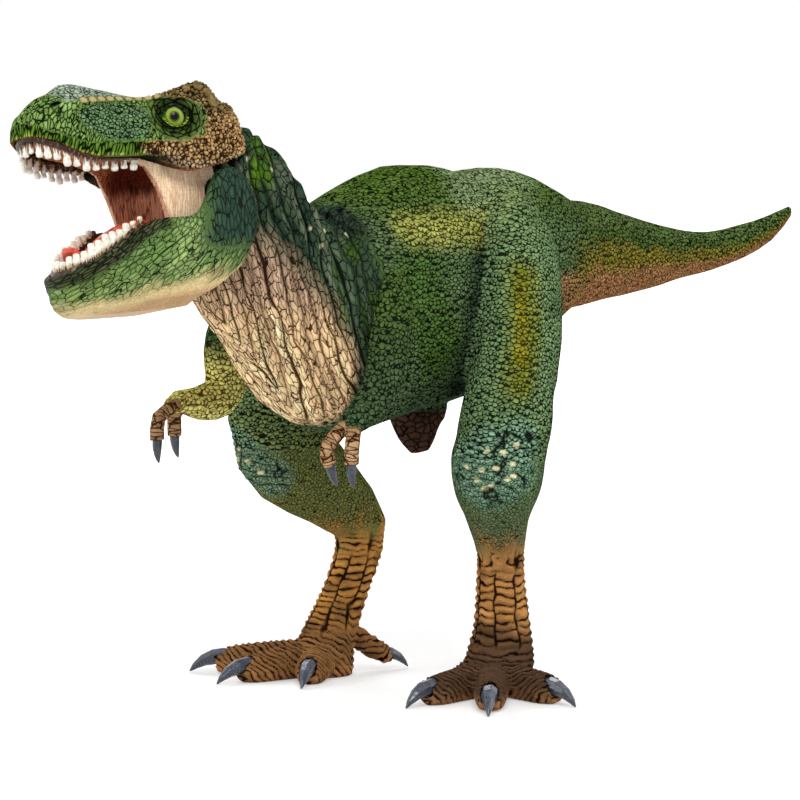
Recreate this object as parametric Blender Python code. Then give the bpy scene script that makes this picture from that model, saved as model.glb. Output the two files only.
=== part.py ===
"""Toy dinosaur figure: a striding two-legged meat eater in moulded plastic, with a hinged jaw.

The snout points along -X, the tail along +X, the figure's left side is -Y and the floor is z = 0.
It is built from the point under the hips, and at the end the origin goes under its middle.
Every skin is a loft through hand-chosen sections. Inserts such as teeth, claws and eyes keep
their whole shape, and the piece that carries them gets a socket with a small gap.
"""
import math

import bmesh
import bpy
from mathutils import Matrix, Vector

# Driving sizes of the figure, in metres
HIP_HEIGHT = 0.095
TRUNK_LENGTH = 0.100
LOIN_DEPTH = 0.050
LOIN_WIDTH = 0.040
TAIL_LENGTH = 0.100
STANCE_WIDTH = 0.060
LEG_REACH = 0.040

# Head and jaw, measured from the jaw hinge
HEAD_LENGTH = 0.050
HEAD_HEIGHT = 0.025
HEAD_WIDTH = 0.034
JAW_LENGTH = 0.040
JAW_DEPTH = 0.025
HEAD_YAW = 7.0
HEAD_ROLL = 9.0

# Gaps and details shared by several pieces
SEAT_GAP = 0.0003
WELD_GAP = 0.00002
STATION_STEPS = 2


def clear_scene():
    for old in list(bpy.data.objects):
        bpy.data.objects.remove(old)


def plastic(name, colour, roughness):
    """A painted plastic with the colour as linear red, green and blue."""
    material = bpy.data.materials.new(name)
    material.use_nodes = True
    shader = material.node_tree.nodes["Principled BSDF"]
    shader.inputs["Base Color"].default_value = (*colour, 1.0)
    shader.inputs["Roughness"].default_value = roughness
    shader.inputs["Metallic"].default_value = 0.0
    return material


def add_mesh(name, points, faces, material):
    mesh = bpy.data.meshes.new(name)
    mesh.from_pydata([tuple(point) for point in points], [], faces)
    mesh.validate()
    mesh.shade_smooth()
    mesh.materials.append(material)
    piece = bpy.data.objects.new(name, mesh)
    bpy.context.scene.collection.objects.link(piece)
    return piece


def smooth_rows(rows, steps):
    """Rows of numbers read from a Catmull-Rom curve through the given ones."""
    found = []
    last = len(rows) - 1
    for index in range(last):
        before = rows[max(index - 1, 0)]
        start = rows[index]
        end = rows[index + 1]
        after = rows[min(index + 2, last)]
        for step in range(steps):
            t = step / steps
            weights = (
                (-t**3 + 2 * t**2 - t) / 2,
                (3 * t**3 - 5 * t**2 + 2) / 2,
                (-3 * t**3 + 4 * t**2 + t) / 2,
                (t**3 - t**2) / 2,
            )
            quads = zip(before, start, end, after)
            found.append(tuple(sum(w * v for w, v in zip(weights, quad)) for quad in quads))
    found.append(tuple(rows[last]))
    return found


def oval(centre, side, up, half_width, rise, drop, count, power=2.0):
    """A ring of points; a power above 2 squares the oval off."""
    ring = []
    for index in range(count):
        angle = math.tau * index / count
        across = math.copysign(abs(math.cos(angle)) ** (2 / power), math.cos(angle))
        along = math.copysign(abs(math.sin(angle)) ** (2 / power), math.sin(angle))
        reach = rise if along > 0 else drop
        ring.append(centre + side * (half_width * across) + up * (reach * along))
    return ring


def loft(name, rings, material):
    """A closed skin over rings of as many points each, capped at both ends."""
    count = len(rings[0])
    points = [point for ring in rings for point in ring]
    faces = []
    for row in range(len(rings) - 1):
        for index in range(count):
            follow = (index + 1) % count
            low = row * count
            high = low + count
            faces.append((low + index, low + follow, high + follow, high + index))
    faces.append(tuple(reversed(range(count))))
    faces.append(tuple(range(len(points) - count, len(points))))
    piece = add_mesh(name, points, faces, material)
    face_outwards(piece)
    return piece


def face_outwards(piece):
    """Turns the faces round when the enclosed volume comes out negative."""
    mesh = piece.data
    mesh.calc_loop_triangles()
    volume = 0.0
    for triangle in mesh.loop_triangles:
        a, b, c = (mesh.vertices[index].co for index in triangle.vertices)
        volume += a.dot(b.cross(c))
    if volume < 0:
        mesh.flip_normals()


def spare_copy(piece):
    copy = piece.copy()
    copy.data = piece.data.copy()
    copy.name = piece.name + "_spare"
    bpy.context.scene.collection.objects.link(copy)
    return copy


def grown_copy(piece, gap):
    """A copy whose skin stands out by the gap, to cut a seat with clearance."""
    copy = spare_copy(piece)
    normals = [vertex.normal.copy() for vertex in copy.data.vertices]
    for vertex, normal in zip(copy.data.vertices, normals):
        vertex.co += normal * gap
    return copy


def combine(piece, tool, operation):
    """Applies a Boolean with the tool, which is used up."""
    change = piece.modifiers.new(operation.lower(), "BOOLEAN")
    change.object = tool
    change.operation = operation
    change.solver = "EXACT"
    bpy.context.view_layer.update()
    graph = bpy.context.evaluated_depsgraph_get()
    result = bpy.data.meshes.new_from_object(piece.evaluated_get(graph))
    piece.modifiers.clear()
    piece.data = result
    bpy.data.objects.remove(tool)
    clean_skin(piece, False)


def clean_skin(piece, in_triangles):
    """Welds points that fall together and drops crumbs, so that one closed skin is left."""
    shape = bmesh.new()
    shape.from_mesh(piece.data)
    bmesh.ops.remove_doubles(shape, verts=shape.verts, dist=WELD_GAP)
    bmesh.ops.dissolve_degenerate(shape, edges=shape.edges, dist=WELD_GAP)
    if in_triangles:
        bmesh.ops.triangulate(shape, faces=shape.faces)
    bmesh.ops.dissolve_degenerate(shape, edges=shape.edges, dist=WELD_GAP)
    corner_sets = {}
    for face in shape.faces:
        corner_sets.setdefault(frozenset(face.verts), []).append(face)
    fins = [face for faces in corner_sets.values() if len(faces) > 1 for face in faces]
    bmesh.ops.delete(shape, geom=fins, context="FACES_ONLY")
    wires = [edge for edge in shape.edges if edge.is_wire]
    bmesh.ops.delete(shape, geom=wires, context="EDGES")
    waiting = set(shape.verts)
    islands = []
    while waiting:
        island = []
        front = [waiting.pop()]
        while front:
            vertex = front.pop()
            island.append(vertex)
            for edge in vertex.link_edges:
                other = edge.other_vert(vertex)
                if other in waiting:
                    waiting.remove(other)
                    front.append(other)
        islands.append(island)
    islands.sort(key=len)
    for island in islands[:-1]:
        bmesh.ops.delete(shape, geom=island, context="VERTS")
    shape.to_mesh(piece.data)
    shape.free()


def seat_in(carrier, insert):
    """Cuts the insert's socket out of its carrier."""
    combine(carrier, grown_copy(insert, SEAT_GAP), "DIFFERENCE")


def rod(name, start, end, radius, sides, material):
    """A round bar between two points."""
    axis = (end - start).normalized()
    side = axis.orthogonal().normalized()
    up = axis.cross(side)
    rings = [oval(place, side, up, radius, radius, radius, sides) for place in (start, end)]
    return loft(name, rings, material)


def limb(name, stations, heading, sides, material, steps=STATION_STEPS):
    """A loft along a path: rows of x, y, z, half fore-and-aft size and half side size."""
    rows = smooth_rows(stations, steps)
    centres = [Vector(row[:3]) for row in rows]
    across = heading.cross(Vector((0, 0, 1))).normalized()
    rings = []
    for index, row in enumerate(rows):
        ahead = centres[min(index + 1, len(rows) - 1)]
        behind = centres[max(index - 1, 0)]
        tangent = (ahead - behind).normalized()
        fore = across.cross(tangent).normalized()
        side = tangent.cross(fore)
        rings.append(oval(centres[index], side, fore, row[4], row[3], row[3], sides))
    return loft(name, rings, material)


# Trunk, neck and tail
TRUNK_SIDES = 18
TRUNK_WIDEST_SHARE = 0.5
TRUNK_SQUARENESS = 2.15
# top x, top height, bottom x, bottom height, half width; the neck inside the head follows its width
NECK_SHARES = (
    (-0.865, 0.54, -0.865, 0.24, 0.247),
    (-0.83, 0.64, -0.84, 0.14, 0.294),
    (-0.79, 0.72, -0.80, 0.02, 0.353),
    (-0.75, 0.766, -0.77, -0.07, 0.388),
)
TRUNK_SHARES = (
    (-0.70, 0.73, -0.73, -0.16, 0.365),
    (-0.62, 0.615, -0.67, -0.26, 0.415),
    (-0.54, 0.385, -0.60, -0.38, 0.475),
    (-0.44, 0.36, -0.515, -0.565, 0.54),
    (-0.33, 0.46, -0.40, -0.655, 0.57),
    (-0.18, 0.56, -0.255, -0.62, 0.575),
    (-0.06, 0.552, -0.10, -0.57, 0.54),
    (0.03, 0.526, 0.04, -0.53, 0.475),
    (0.15, 0.552, 0.17, -0.42, 0.41),
    (0.29, 0.50, 0.29, -0.28, 0.35),
    (0.42, 0.396, 0.41, -0.16, 0.295),
)
# the same columns, with x counted from the tail's root in tail lengths
TAIL_SHARES = (
    (0.003, 0.394, -0.007, -0.16, 0.292),
    (0.14, 0.352, 0.13, -0.12, 0.245),
    (0.30, 0.284, 0.29, -0.08, 0.20),
    (0.46, 0.228, 0.45, -0.036, 0.16),
    (0.61, 0.208, 0.60, 0.006, 0.125),
    (0.75, 0.236, 0.74, 0.066, 0.092),
    (0.87, 0.284, 0.865, 0.146, 0.062),
    (0.96, 0.332, 0.96, 0.272, 0.025),
)
TAIL_SIDES = 14
TAIL_ROOT_SHARE = 0.42
TAIL_PEG_RADIUS = 0.006
TAIL_PEG_LENGTH = 0.008
TAIL_PEG_HEIGHT_SHARE = 0.12


def trunk_point(x_share, y_share, z_share):
    return Vector((
        x_share * TRUNK_LENGTH,
        y_share * LOIN_WIDTH,
        HIP_HEIGHT + z_share * LOIN_DEPTH,
    ))


def trunk_rings(rows, x_start, x_length, sides, steps):
    rings = []
    for top_x, top_z, bottom_x, bottom_z, half in smooth_rows(rows, steps):
        top = Vector((x_start + top_x * x_length, 0, HIP_HEIGHT + top_z * LOIN_DEPTH))
        bottom = Vector((x_start + bottom_x * x_length, 0, HIP_HEIGHT + bottom_z * LOIN_DEPTH))
        middle = bottom.lerp(top, TRUNK_WIDEST_SHARE)
        up = (top - bottom).normalized()
        rise = (top - middle).length
        drop = (bottom - middle).length
        side = Vector((0, 1, 0))
        rings.append(oval(middle, side, up, half * LOIN_WIDTH, rise, drop, sides, TRUNK_SQUARENESS))
    return rings


def make_torso(skin):
    neck = [(*places, half * HEAD_WIDTH / LOIN_WIDTH) for *places, half in NECK_SHARES]
    rings = trunk_rings((*neck, *TRUNK_SHARES), 0, TRUNK_LENGTH, TRUNK_SIDES, STATION_STEPS)
    return loft("torso", rings, skin)


def make_tail(skin):
    root = TAIL_ROOT_SHARE * TRUNK_LENGTH + SEAT_GAP
    rings = trunk_rings(TAIL_SHARES, root, TAIL_LENGTH, TAIL_SIDES, STATION_STEPS)
    return loft("tail", rings, skin)


# The pubic boot hangs from the belly between the legs
BOOT_SIDES = 10
BOOT_SIZE = 0.010
# x and height in trunk measures, then half fore-and-aft and half side size in boot sizes
BOOT_SHARES = (
    (-0.105, -0.40, 1.05, 0.56),
    (-0.10, -0.59, 0.95, 0.47),
    (-0.10, -0.66, 0.76, 0.39),
    (-0.095, -0.73, 0.52, 0.28),
    (-0.092, -0.78, 0.28, 0.16),
)


def make_boot(skin):
    rows = []
    for x_share, z_share, fore_share, side_share in BOOT_SHARES:
        centre = trunk_point(x_share, 0, z_share)
        rows.append((*centre, fore_share * BOOT_SIZE, side_share * BOOT_SIZE))
    return limb("pubic_boot", rows, Vector((-1, 0, 0)), BOOT_SIDES, skin)


# Legs and feet
LEG_SIDES = 14
THIGH_SIZE = 0.020
# x, y and height, then half fore-and-aft size and half side size in thigh sizes
LEFT_LEG_SHARES = (
    (0.18, 0.16, 1.20, 0.50, 0.34),
    (0.14, 0.26, 1.09, 0.88, 0.50),
    (0.05, 0.33, 0.95, 0.94, 0.54),
    (-0.12, 0.41, 0.79, 0.78, 0.52),
    (-0.30, 0.44, 0.65, 0.60, 0.48),
    (-0.30, 0.42, 0.55, 0.56, 0.45),
    (-0.16, 0.36, 0.45, 0.44, 0.37),
    (-0.03, 0.30, 0.35, 0.33, 0.28),
    (0.02, 0.275, 0.25, 0.31, 0.295),
    (0.04, 0.27, 0.15, 0.33, 0.34),
    (0.0, 0.275, 0.06, 0.40, 0.42),
    (-0.05, 0.28, -0.01, 0.35, 0.37),
)
RIGHT_LEG_SHARES = (
    (0.15, 0.16, 1.18, 0.50, 0.34),
    (0.08, 0.28, 1.06, 0.90, 0.48),
    (-0.12, 0.38, 0.92, 0.95, 0.50),
    (-0.40, 0.48, 0.77, 0.80, 0.48),
    (-0.58, 0.55, 0.65, 0.62, 0.48),
    (-0.42, 0.55, 0.55, 0.60, 0.45),
    (-0.13, 0.525, 0.46, 0.44, 0.36),
    (0.08, 0.505, 0.37, 0.34, 0.28),
    (0.03, 0.515, 0.26, 0.28, 0.27),
    (-0.09, 0.53, 0.15, 0.30, 0.30),
    (-0.18, 0.54, 0.06, 0.36, 0.36),
    (-0.18, 0.54, -0.01, 0.34, 0.34),
)
HIP_ROW = 2
HIP_PEG_RADIUS = 0.004
HIP_PEG_LENGTH = 0.008
LEFT_HEADING = 36.0
RIGHT_HEADING = 16.0
TOE_SIDES = 8
TOE_RADIUS = 0.0042
TOE_LENGTH = 0.026
FOOT_DEPTH = 0.0060
FOOT_CLAW_LENGTH = 0.0085
FOOT_CLAW_RADIUS = 0.0021
CLAW_SIDES = 7
# along the toe, height in foot depths, half height and half width in toe radii
TOE_SHARES = (
    (0.00, 0.78, 1.00, 1.05),
    (0.30, 0.64, 1.10, 1.02),
    (0.60, 0.56, 1.00, 0.95),
    (0.85, 0.50, 0.92, 0.90),
    (1.00, 0.50, 0.60, 0.62),
)
# along the claw, bend at that place and radius
CLAW_SHARES = (
    (-0.30, 0.00, 0.80),
    (0.00, 0.00, 1.00),
    (0.30, 0.06, 0.92),
    (0.60, 0.26, 0.70),
    (0.85, 0.58, 0.40),
    (1.00, 0.86, 0.10),
)
CLAW_ROOT_HEIGHT_SHARE = 0.70
CLAW_ROOT_BACK_SHARE = 0.08
CLAW_DROOP_SHARE = 0.76
# name, angle inwards from the foot's heading, reach and girth of the toe, claw size, and how
# far above the other toes' roots this one starts, in foot depths
LEFT_TOE_SHARES = (
    ("inner", 36.0, 0.94, 1.00, 1.00, 0.0),
    ("middle", -2.0, 1.06, 1.00, 1.00, 0.0),
    ("outer", -46.0, 0.82, 1.00, 1.00, 0.0),
    ("rear", 92.0, 0.38, 0.62, 0.70, 0.9),
)
RIGHT_TOE_SHARES = (
    ("inner", 46.0, 0.68, 1.00, 1.00, 0.0),
    ("middle", 2.0, 0.92, 1.00, 1.00, 0.0),
    ("outer", -38.0, 1.02, 1.00, 1.00, 0.0),
    ("rear", 176.0, 0.70, 0.66, 0.80, 1.6),
)


def leg_point(side_sign, x_share, y_share, z_share):
    return Vector((
        x_share * LEG_REACH,
        side_sign * y_share * STANCE_WIDTH,
        z_share * HIP_HEIGHT,
    ))


def heading_vector(side_sign, degrees):
    """The way a foot points: the snout's way, splayed outwards by the angle."""
    angle = math.radians(degrees)
    return Vector((-math.cos(angle), side_sign * math.sin(angle), 0))


def curved_claw(name, root, forward, bend, length, radius, heading, material):
    """A horn-shaped claw that leaves its root forwards and curls the bend's way."""
    rows = []
    for along_share, bend_share, radius_share in CLAW_SHARES:
        centre = root + forward * (along_share * length) + bend * bend_share
        rows.append((*centre, radius_share * radius, radius_share * radius))
    return limb(name, rows, heading, CLAW_SIDES, material, steps=1)


def make_toe(name, base, forward, reach, girth, lift, skin):
    rows = []
    for along_share, height_share, rise_share, side_share in TOE_SHARES:
        place = base + forward * (along_share * reach)
        height = (height_share + lift * (1 - along_share)) * FOOT_DEPTH
        rise = girth * rise_share * TOE_RADIUS
        half_width = girth * side_share * TOE_RADIUS
        rows.append((place.x, place.y, height, rise, half_width))
    return limb(name, rows, forward, TOE_SIDES, skin)


def make_leg(name, side_sign, shares, heading_degrees, toes, skin, horn):
    """One leg with its toes, and its foot claws in their sockets."""
    rows = []
    for x_share, y_share, z_share, fore_share, side_share in shares:
        centre = leg_point(side_sign, x_share, y_share, z_share)
        rows.append((*centre, fore_share * THIGH_SIZE, side_share * THIGH_SIZE))
    leg = limb(name, rows, heading_vector(side_sign, heading_degrees), LEG_SIDES, skin)
    base = Vector((rows[-1][0], rows[-1][1], 0))
    claws = []
    for toe_name, turn, reach_share, girth_share, claw_share, lift_share in toes:
        forward = heading_vector(side_sign, heading_degrees - turn)
        reach = reach_share * TOE_LENGTH
        toe_shape = (base, forward, reach, girth_share, lift_share)
        toe = make_toe(f"{name}_{toe_name}_toe", *toe_shape, skin)
        combine(leg, toe, "UNION")
        root = base + forward * (reach - CLAW_ROOT_BACK_SHARE * TOE_LENGTH)
        root.z = CLAW_ROOT_HEIGHT_SHARE * FOOT_DEPTH
        bend = Vector((0, 0, -CLAW_DROOP_SHARE * FOOT_DEPTH))
        length = claw_share * FOOT_CLAW_LENGTH
        radius = claw_share * FOOT_CLAW_RADIUS
        claw_name = f"{name.replace('_leg', '_foot')}_{toe_name}_claw"
        claws.append(curved_claw(claw_name, root, forward, bend, length, radius, forward, horn))
    cut_flat(leg)
    for claw in claws:
        seat_in(leg, claw)
    return leg


def cut_flat(piece):
    """Takes off whatever reaches below the floor, so that the sole rests flat."""
    across = Vector((0, TRUNK_LENGTH, 0))
    up = Vector((0, 0, TRUNK_LENGTH))
    rings = []
    for x in (-TRUNK_LENGTH, TRUNK_LENGTH):
        corner = Vector((x, 0, 0))
        rings.append([corner - across, corner + across, corner + across - up, corner - across - up])
    combine(piece, loft("under_floor", rings, piece.data.materials[0]), "DIFFERENCE")


def add_peg(piece, carrier, start, end, radius):
    """A locating peg on the piece and its socket in the carrier."""
    peg = rod(piece.name + "_peg", start, end, radius, PEG_SIDES, piece.data.materials[0])
    seat_in(carrier, peg)
    combine(piece, peg, "UNION")


# Arms and hands
ARM_SIDES = 10
ARM_SIZE = 0.010
FINGER_SIDES = 8
FINGER_RADIUS = 0.0017
HAND_CLAW_LENGTH = 0.0052
HAND_CLAW_RADIUS = 0.0012
SHOULDER_ROW = 2
SHOULDER_PEG_RADIUS = 0.0024
SHOULDER_PEG_LENGTH = 0.0095
PEG_SIDES = 16
ARM_HEADING = Vector((-1, 0, 0))
# x, y and height in trunk measures, then half fore-and-aft and half side size in arm sizes
LEFT_ARM_SHARES = (
    (-0.385, 0.44, 0.06, 0.46, 0.40),
    (-0.425, 0.535, -0.03, 0.50, 0.43),
    (-0.445, 0.575, -0.13, 0.53, 0.45),
    (-0.463, 0.595, -0.25, 0.54, 0.46),
    (-0.479, 0.60, -0.37, 0.50, 0.44),
    (-0.506, 0.59, -0.46, 0.44, 0.40),
    (-0.545, 0.58, -0.525, 0.36, 0.34),
    (-0.575, 0.58, -0.56, 0.30, 0.31),
    (-0.59, 0.58, -0.60, 0.23, 0.28),
)
RIGHT_ARM_SHARES = (
    (-0.47, 0.44, -0.06, 0.56, 0.46),
    (-0.485, 0.55, -0.17, 0.62, 0.50),
    (-0.475, 0.63, -0.30, 0.62, 0.50),
    (-0.455, 0.68, -0.43, 0.56, 0.48),
    (-0.475, 0.70, -0.51, 0.50, 0.46),
    (-0.53, 0.70, -0.53, 0.42, 0.38),
    (-0.575, 0.70, -0.52, 0.31, 0.30),
    (-0.605, 0.70, -0.515, 0.25, 0.27),
    (-0.625, 0.70, -0.54, 0.20, 0.25),
)
# name, then x, y and height of the knuckle, the middle joint and the claw's root
LEFT_FINGER_SHARES = (
    ("inner", (-0.58, 0.555, -0.565), (-0.642, 0.545, -0.66), (-0.632, 0.545, -0.74)),
    ("outer", (-0.582, 0.61, -0.57), (-0.608, 0.65, -0.66), (-0.612, 0.655, -0.74)),
)
RIGHT_FINGER_SHARES = (
    ("inner", (-0.615, 0.665, -0.52), (-0.69, 0.637, -0.575), (-0.70, 0.625, -0.68)),
    ("outer", (-0.60, 0.735, -0.53), (-0.592, 0.765, -0.60), (-0.587, 0.775, -0.68)),
)


def make_arm(name, side_sign, shares, fingers, skin, horn):
    """One arm with two fingers, and its hand claws in their sockets."""
    rows = []
    for x_share, y_share, z_share, fore_share, side_share in shares:
        centre = trunk_point(x_share, side_sign * y_share, z_share)
        rows.append((*centre, fore_share * ARM_SIZE, side_share * ARM_SIZE))
    arm = limb(name, rows, ARM_HEADING, ARM_SIDES, skin)
    claws = []
    for finger_name, *places in fingers:
        points = [trunk_point(x, side_sign * y, z) for x, y, z in places]
        rows = [(*point, FINGER_RADIUS, FINGER_RADIUS) for point in points]
        finger = limb(f"{name}_{finger_name}_finger", rows, ARM_HEADING, FINGER_SIDES, skin)
        combine(arm, finger, "UNION")
        down = (points[-1] - points[-2]).normalized()
        bend = Vector((HAND_CLAW_RADIUS, 0, 0))
        claw_name = f"{name.replace('_arm', '_hand')}_{finger_name}_claw"
        sizes = (HAND_CLAW_LENGTH, HAND_CLAW_RADIUS)
        claws.append(curved_claw(claw_name, points[-1], down, bend, *sizes, ARM_HEADING, horn))
    for claw in claws:
        seat_in(arm, claw)
    return arm


# Head, in axes of its own: forward to the snout, y to the right side, z up, from the jaw hinge
HINGE_SHARES = (-0.835, 0.0375, 0.41)
LIP_WALL = 0.0014
GROOVE_DEPTH = 0.0016
PALATE_ARCH = 0.0009
# forward, crown height, half width and height of the ridge, half width and height of the lip
SKULL_SHARES = (
    (0.845, 0.645, 0.045, 0.63, 0.072, 0.525),
    (0.83, 0.67, 0.080, 0.65, 0.140, 0.515),
    (0.775, 0.745, 0.115, 0.70, 0.208, 0.47),
    (0.71, 0.87, 0.16, 0.775, 0.264, 0.395),
    (0.62, 0.99, 0.205, 0.825, 0.31, 0.32),
    (0.51, 0.985, 0.22, 0.83, 0.335, 0.30),
    (0.40, 0.93, 0.235, 0.825, 0.37, 0.295),
    (0.30, 0.865, 0.265, 0.83, 0.42, 0.225),
    (0.20, 0.84, 0.31, 0.88, 0.46, 0.17),
    (0.10, 0.85, 0.34, 0.95, 0.48, 0.20),
    (0.02, 0.83, 0.345, 0.94, 0.49, 0.235),
    (-0.045, 0.75, 0.335, 0.80, 0.48, 0.275),
    (-0.10, 0.73, 0.325, 0.77, 0.44, 0.31),
    (-0.15, 0.72, 0.27, 0.75, 0.37, 0.36),
)
# width and height of the crown's shoulder, as shares of the way from crown to ridge
CROWN_SHOULDER_SHARES = (0.55, 0.35)
# the cheek: share of the way out from ridge to lip, and share of the way down
CHEEK_SHARES = (
    (0.00, 0.00),
    (0.58, 0.32),
    (0.91, 0.66),
    (1.00, 0.90),
    (0.95, 1.00),
)
EYE_RADIUS = 0.0027
EYE_SHARES = (0.212, 0.343, 0.63)
EYE_SIDES = 12
EYE_RINGS = 6
# forward, half width, top and bottom of the block that fills the roof of the mouth
LINING_SHARES = (
    (0.0, 0.318, 0.40, -0.36),
    (0.16, 0.318, 0.42, -0.38),
    (0.245, 0.318, 0.44, -0.32),
    (0.30, 0.312, 0.46, 0.04),
    (0.345, 0.285, 0.47, 0.22),
    (0.40, 0.245, 0.46, 0.27),
    (0.52, 0.22, 0.46, 0.34),
    (0.64, 0.205, 0.48, 0.38),
    (0.74, 0.15, 0.54, 0.46),
    (0.80, 0.08, 0.58, 0.52),
)
# forward, half width and ceiling of the air inside the mouth
MOUTH_SHARES = (
    (0.125, 0.18, 0.10),
    (0.155, 0.235, 0.24),
    (0.22, 0.245, 0.33),
    (0.34, 0.245, 0.345),
    (0.52, 0.23, 0.38),
    (0.70, 0.185, 0.47),
    (0.84, 0.12, 0.56),
    (1.00, 0.10, 0.60),
)
MOUTH_DROP = 0.030
BLOCK_SIDES = 12
BLOCK_SQUARENESS = 4.0


def head_point(forward_share, y_share, z_share):
    return Vector((
        -forward_share * HEAD_LENGTH,
        y_share * HEAD_WIDTH,
        z_share * HEAD_HEIGHT,
    ))


def mix(first, second, share):
    return first + (second - first) * share


def mirrored(half):
    """A ring from its right half, whose first and last points lie on the middle plane."""
    other = [Vector((point.x, -point.y, point.z)) for point in reversed(half[1:-1])]
    return half + other


def block_ring(centre, half_width, rise, drop, sides=BLOCK_SIDES, power=BLOCK_SQUARENESS):
    """A rounded block section that stands across the head."""
    return oval(centre, Vector((0, 1, 0)), Vector((0, 0, 1)), half_width, rise, drop, sides, power)


def skull_ring(row):
    forward, crown, ridge_half, ridge, lip_half, lip = row
    across_share, down_share = CROWN_SHOULDER_SHARES
    half = [
        head_point(forward, 0, crown),
        head_point(forward, across_share * ridge_half, mix(crown, ridge, down_share)),
    ]
    for across_share, down_share in CHEEK_SHARES:
        across = mix(ridge_half, lip_half, across_share)
        half.append(head_point(forward, across, mix(ridge, lip, down_share)))
    half.append(head_point(forward, 0, lip))
    return mirrored(half)


def recess_ring(row, back):
    """A section of the hollow inside the upper lips, moved back from its row."""
    forward, *_, lip_half, lip = row
    edge = head_point(forward, CHEEK_SHARES[-1][0] * lip_half, lip)
    edge.x += back
    inside = edge.y - LIP_WALL
    half = [
        Vector((edge.x, 0, edge.z + GROOVE_DEPTH + PALATE_ARCH)),
        Vector((edge.x, inside, edge.z + GROOVE_DEPTH)),
        Vector((edge.x, inside, edge.z - GROOVE_DEPTH)),
        Vector((edge.x, 0, edge.z - GROOVE_DEPTH)),
    ]
    return mirrored(half)


def make_skull(skin):
    """The skull with the upper jaw, hollowed between its lips."""
    rows = smooth_rows(SKULL_SHARES, STATION_STEPS)
    skull = loft("head", [skull_ring(row) for row in rows], skin)
    rings = [recess_ring(row, LIP_WALL) for row in rows[STATION_STEPS:]]
    rings.append(recess_ring(rows[-1], 2 * LIP_WALL))
    combine(skull, loft("lip_recess", rings, skin), "DIFFERENCE")
    return skull


def make_lining(flesh):
    rings = []
    for forward, half, top, bottom in LINING_SHARES:
        rise = (top - bottom) * HEAD_HEIGHT / 2
        rings.append(block_ring(head_point(forward, 0, (top + bottom) / 2), half * HEAD_WIDTH, rise, rise))
    return loft("mouth_lining", rings, flesh)


def make_mouth_air(flesh):
    """The hollow of the open mouth: an arch over a drop that clears the webs."""
    rings = []
    for forward, half, ceiling in MOUTH_SHARES:
        rise = ceiling * HEAD_HEIGHT
        rings.append(block_ring(head_point(forward, 0, 0), half * HEAD_WIDTH, rise, MOUTH_DROP))
    return loft("mouth_air", rings, flesh)


def make_eye(name, side_sign, glass):
    forward, across, height = EYE_SHARES
    centre = head_point(forward, side_sign * across, height)
    rings = []
    for index in range(1, EYE_RINGS):
        angle = math.pi * index / EYE_RINGS
        place = centre - Vector((0, math.cos(angle) * EYE_RADIUS, 0))
        radius = math.sin(angle) * EYE_RADIUS
        rings.append(oval(place, Vector((1, 0, 0)), Vector((0, 0, 1)), radius, radius, radius, EYE_SIDES))
    return loft(name, rings, glass)


# Lower jaw, in the same axes
# forward, rim height, keel height, half width at the rim and at the belly
JAW_SHARES = (
    (0.928, -0.645, -0.75, 0.070, 0.050),
    (0.910, -0.63, -0.87, 0.140, 0.105),
    (0.845, -0.585, -0.965, 0.200, 0.168),
    (0.750, -0.495, -0.985, 0.254, 0.234),
    (0.65, -0.395, -0.985, 0.305, 0.29),
    (0.512, -0.264, -0.976, 0.355, 0.35),
    (0.40, -0.216, -0.968, 0.40, 0.40),
    (0.287, -0.216, -0.96, 0.441, 0.435),
    (0.20, -0.176, -0.944, 0.471, 0.459),
    (0.138, 0.0, -0.92, 0.488, 0.471),
    (0.08, 0.14, -0.88, 0.497, 0.476),
    (0.01, 0.196, -0.824, 0.50, 0.476),
    (-0.065, 0.172, -0.736, 0.494, 0.471),
    (-0.125, 0.08, -0.608, 0.482, 0.459),
    (-0.165, -0.12, -0.44, 0.465, 0.447),
)
# width factor, share of the way from rim width to belly width, share of the way down to the keel
JAW_SIDE_SHARES = (
    (0.55, 0.0, 0.00),
    (0.93, 0.0, 0.00),
    (1.00, 0.0, 0.12),
    (1.01, 0.5, 0.40),
    (1.00, 1.0, 0.70),
    (0.86, 1.0, 0.90),
    (0.55, 1.0, 1.00),
)
# forward, half width and floor height of the trough; past the throat it is open below
TROUGH_SHARES = (
    (0.87, 0.06, -0.69),
    (0.82, 0.11, -0.70),
    (0.75, 0.158, -0.705),
    (0.65, 0.21, -0.72),
    (0.512, 0.255, -0.74),
    (0.40, 0.295, -0.76),
    (0.29, 0.350, -0.79),
    (0.235, 0.378, -0.95),
    (0.17, 0.405, -1.4),
    (0.01, 0.424, -1.5),
    (-0.16, 0.42, -1.5),
    (-0.30, 0.42, -1.5),
)
TROUGH_TOP = 0.012
TROUGH_SIDES = 14
# forward, half width, top and bottom of the tongue
TONGUE_SHARES = (
    (0.23, 0.10, -0.26, -0.50),
    (0.27, 0.165, -0.19, -0.70),
    (0.37, 0.185, -0.16, -0.775),
    (0.50, 0.182, -0.215, -0.755),
    (0.625, 0.17, -0.345, -0.735),
    (0.70, 0.14, -0.44, -0.715),
    (0.76, 0.115, -0.45, -0.60),
    (0.81, 0.085, -0.395, -0.49),
    (0.835, 0.04, -0.385, -0.435),
)
TONGUE_SIDES = 12
TONGUE_SQUARENESS = 2.6
PIN_RADIUS = 0.0012
PIN_COVER = 0.0010
BORE_GAP = 0.00008
PIN_SIDES = 16
BARREL_RADIUS = 0.0030
BARREL_HALF_SHARE = 0.412


def jaw_point(forward_share, y_share, z_share):
    return Vector((
        -forward_share * JAW_LENGTH,
        y_share * HEAD_WIDTH,
        z_share * JAW_DEPTH,
    ))


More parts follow.
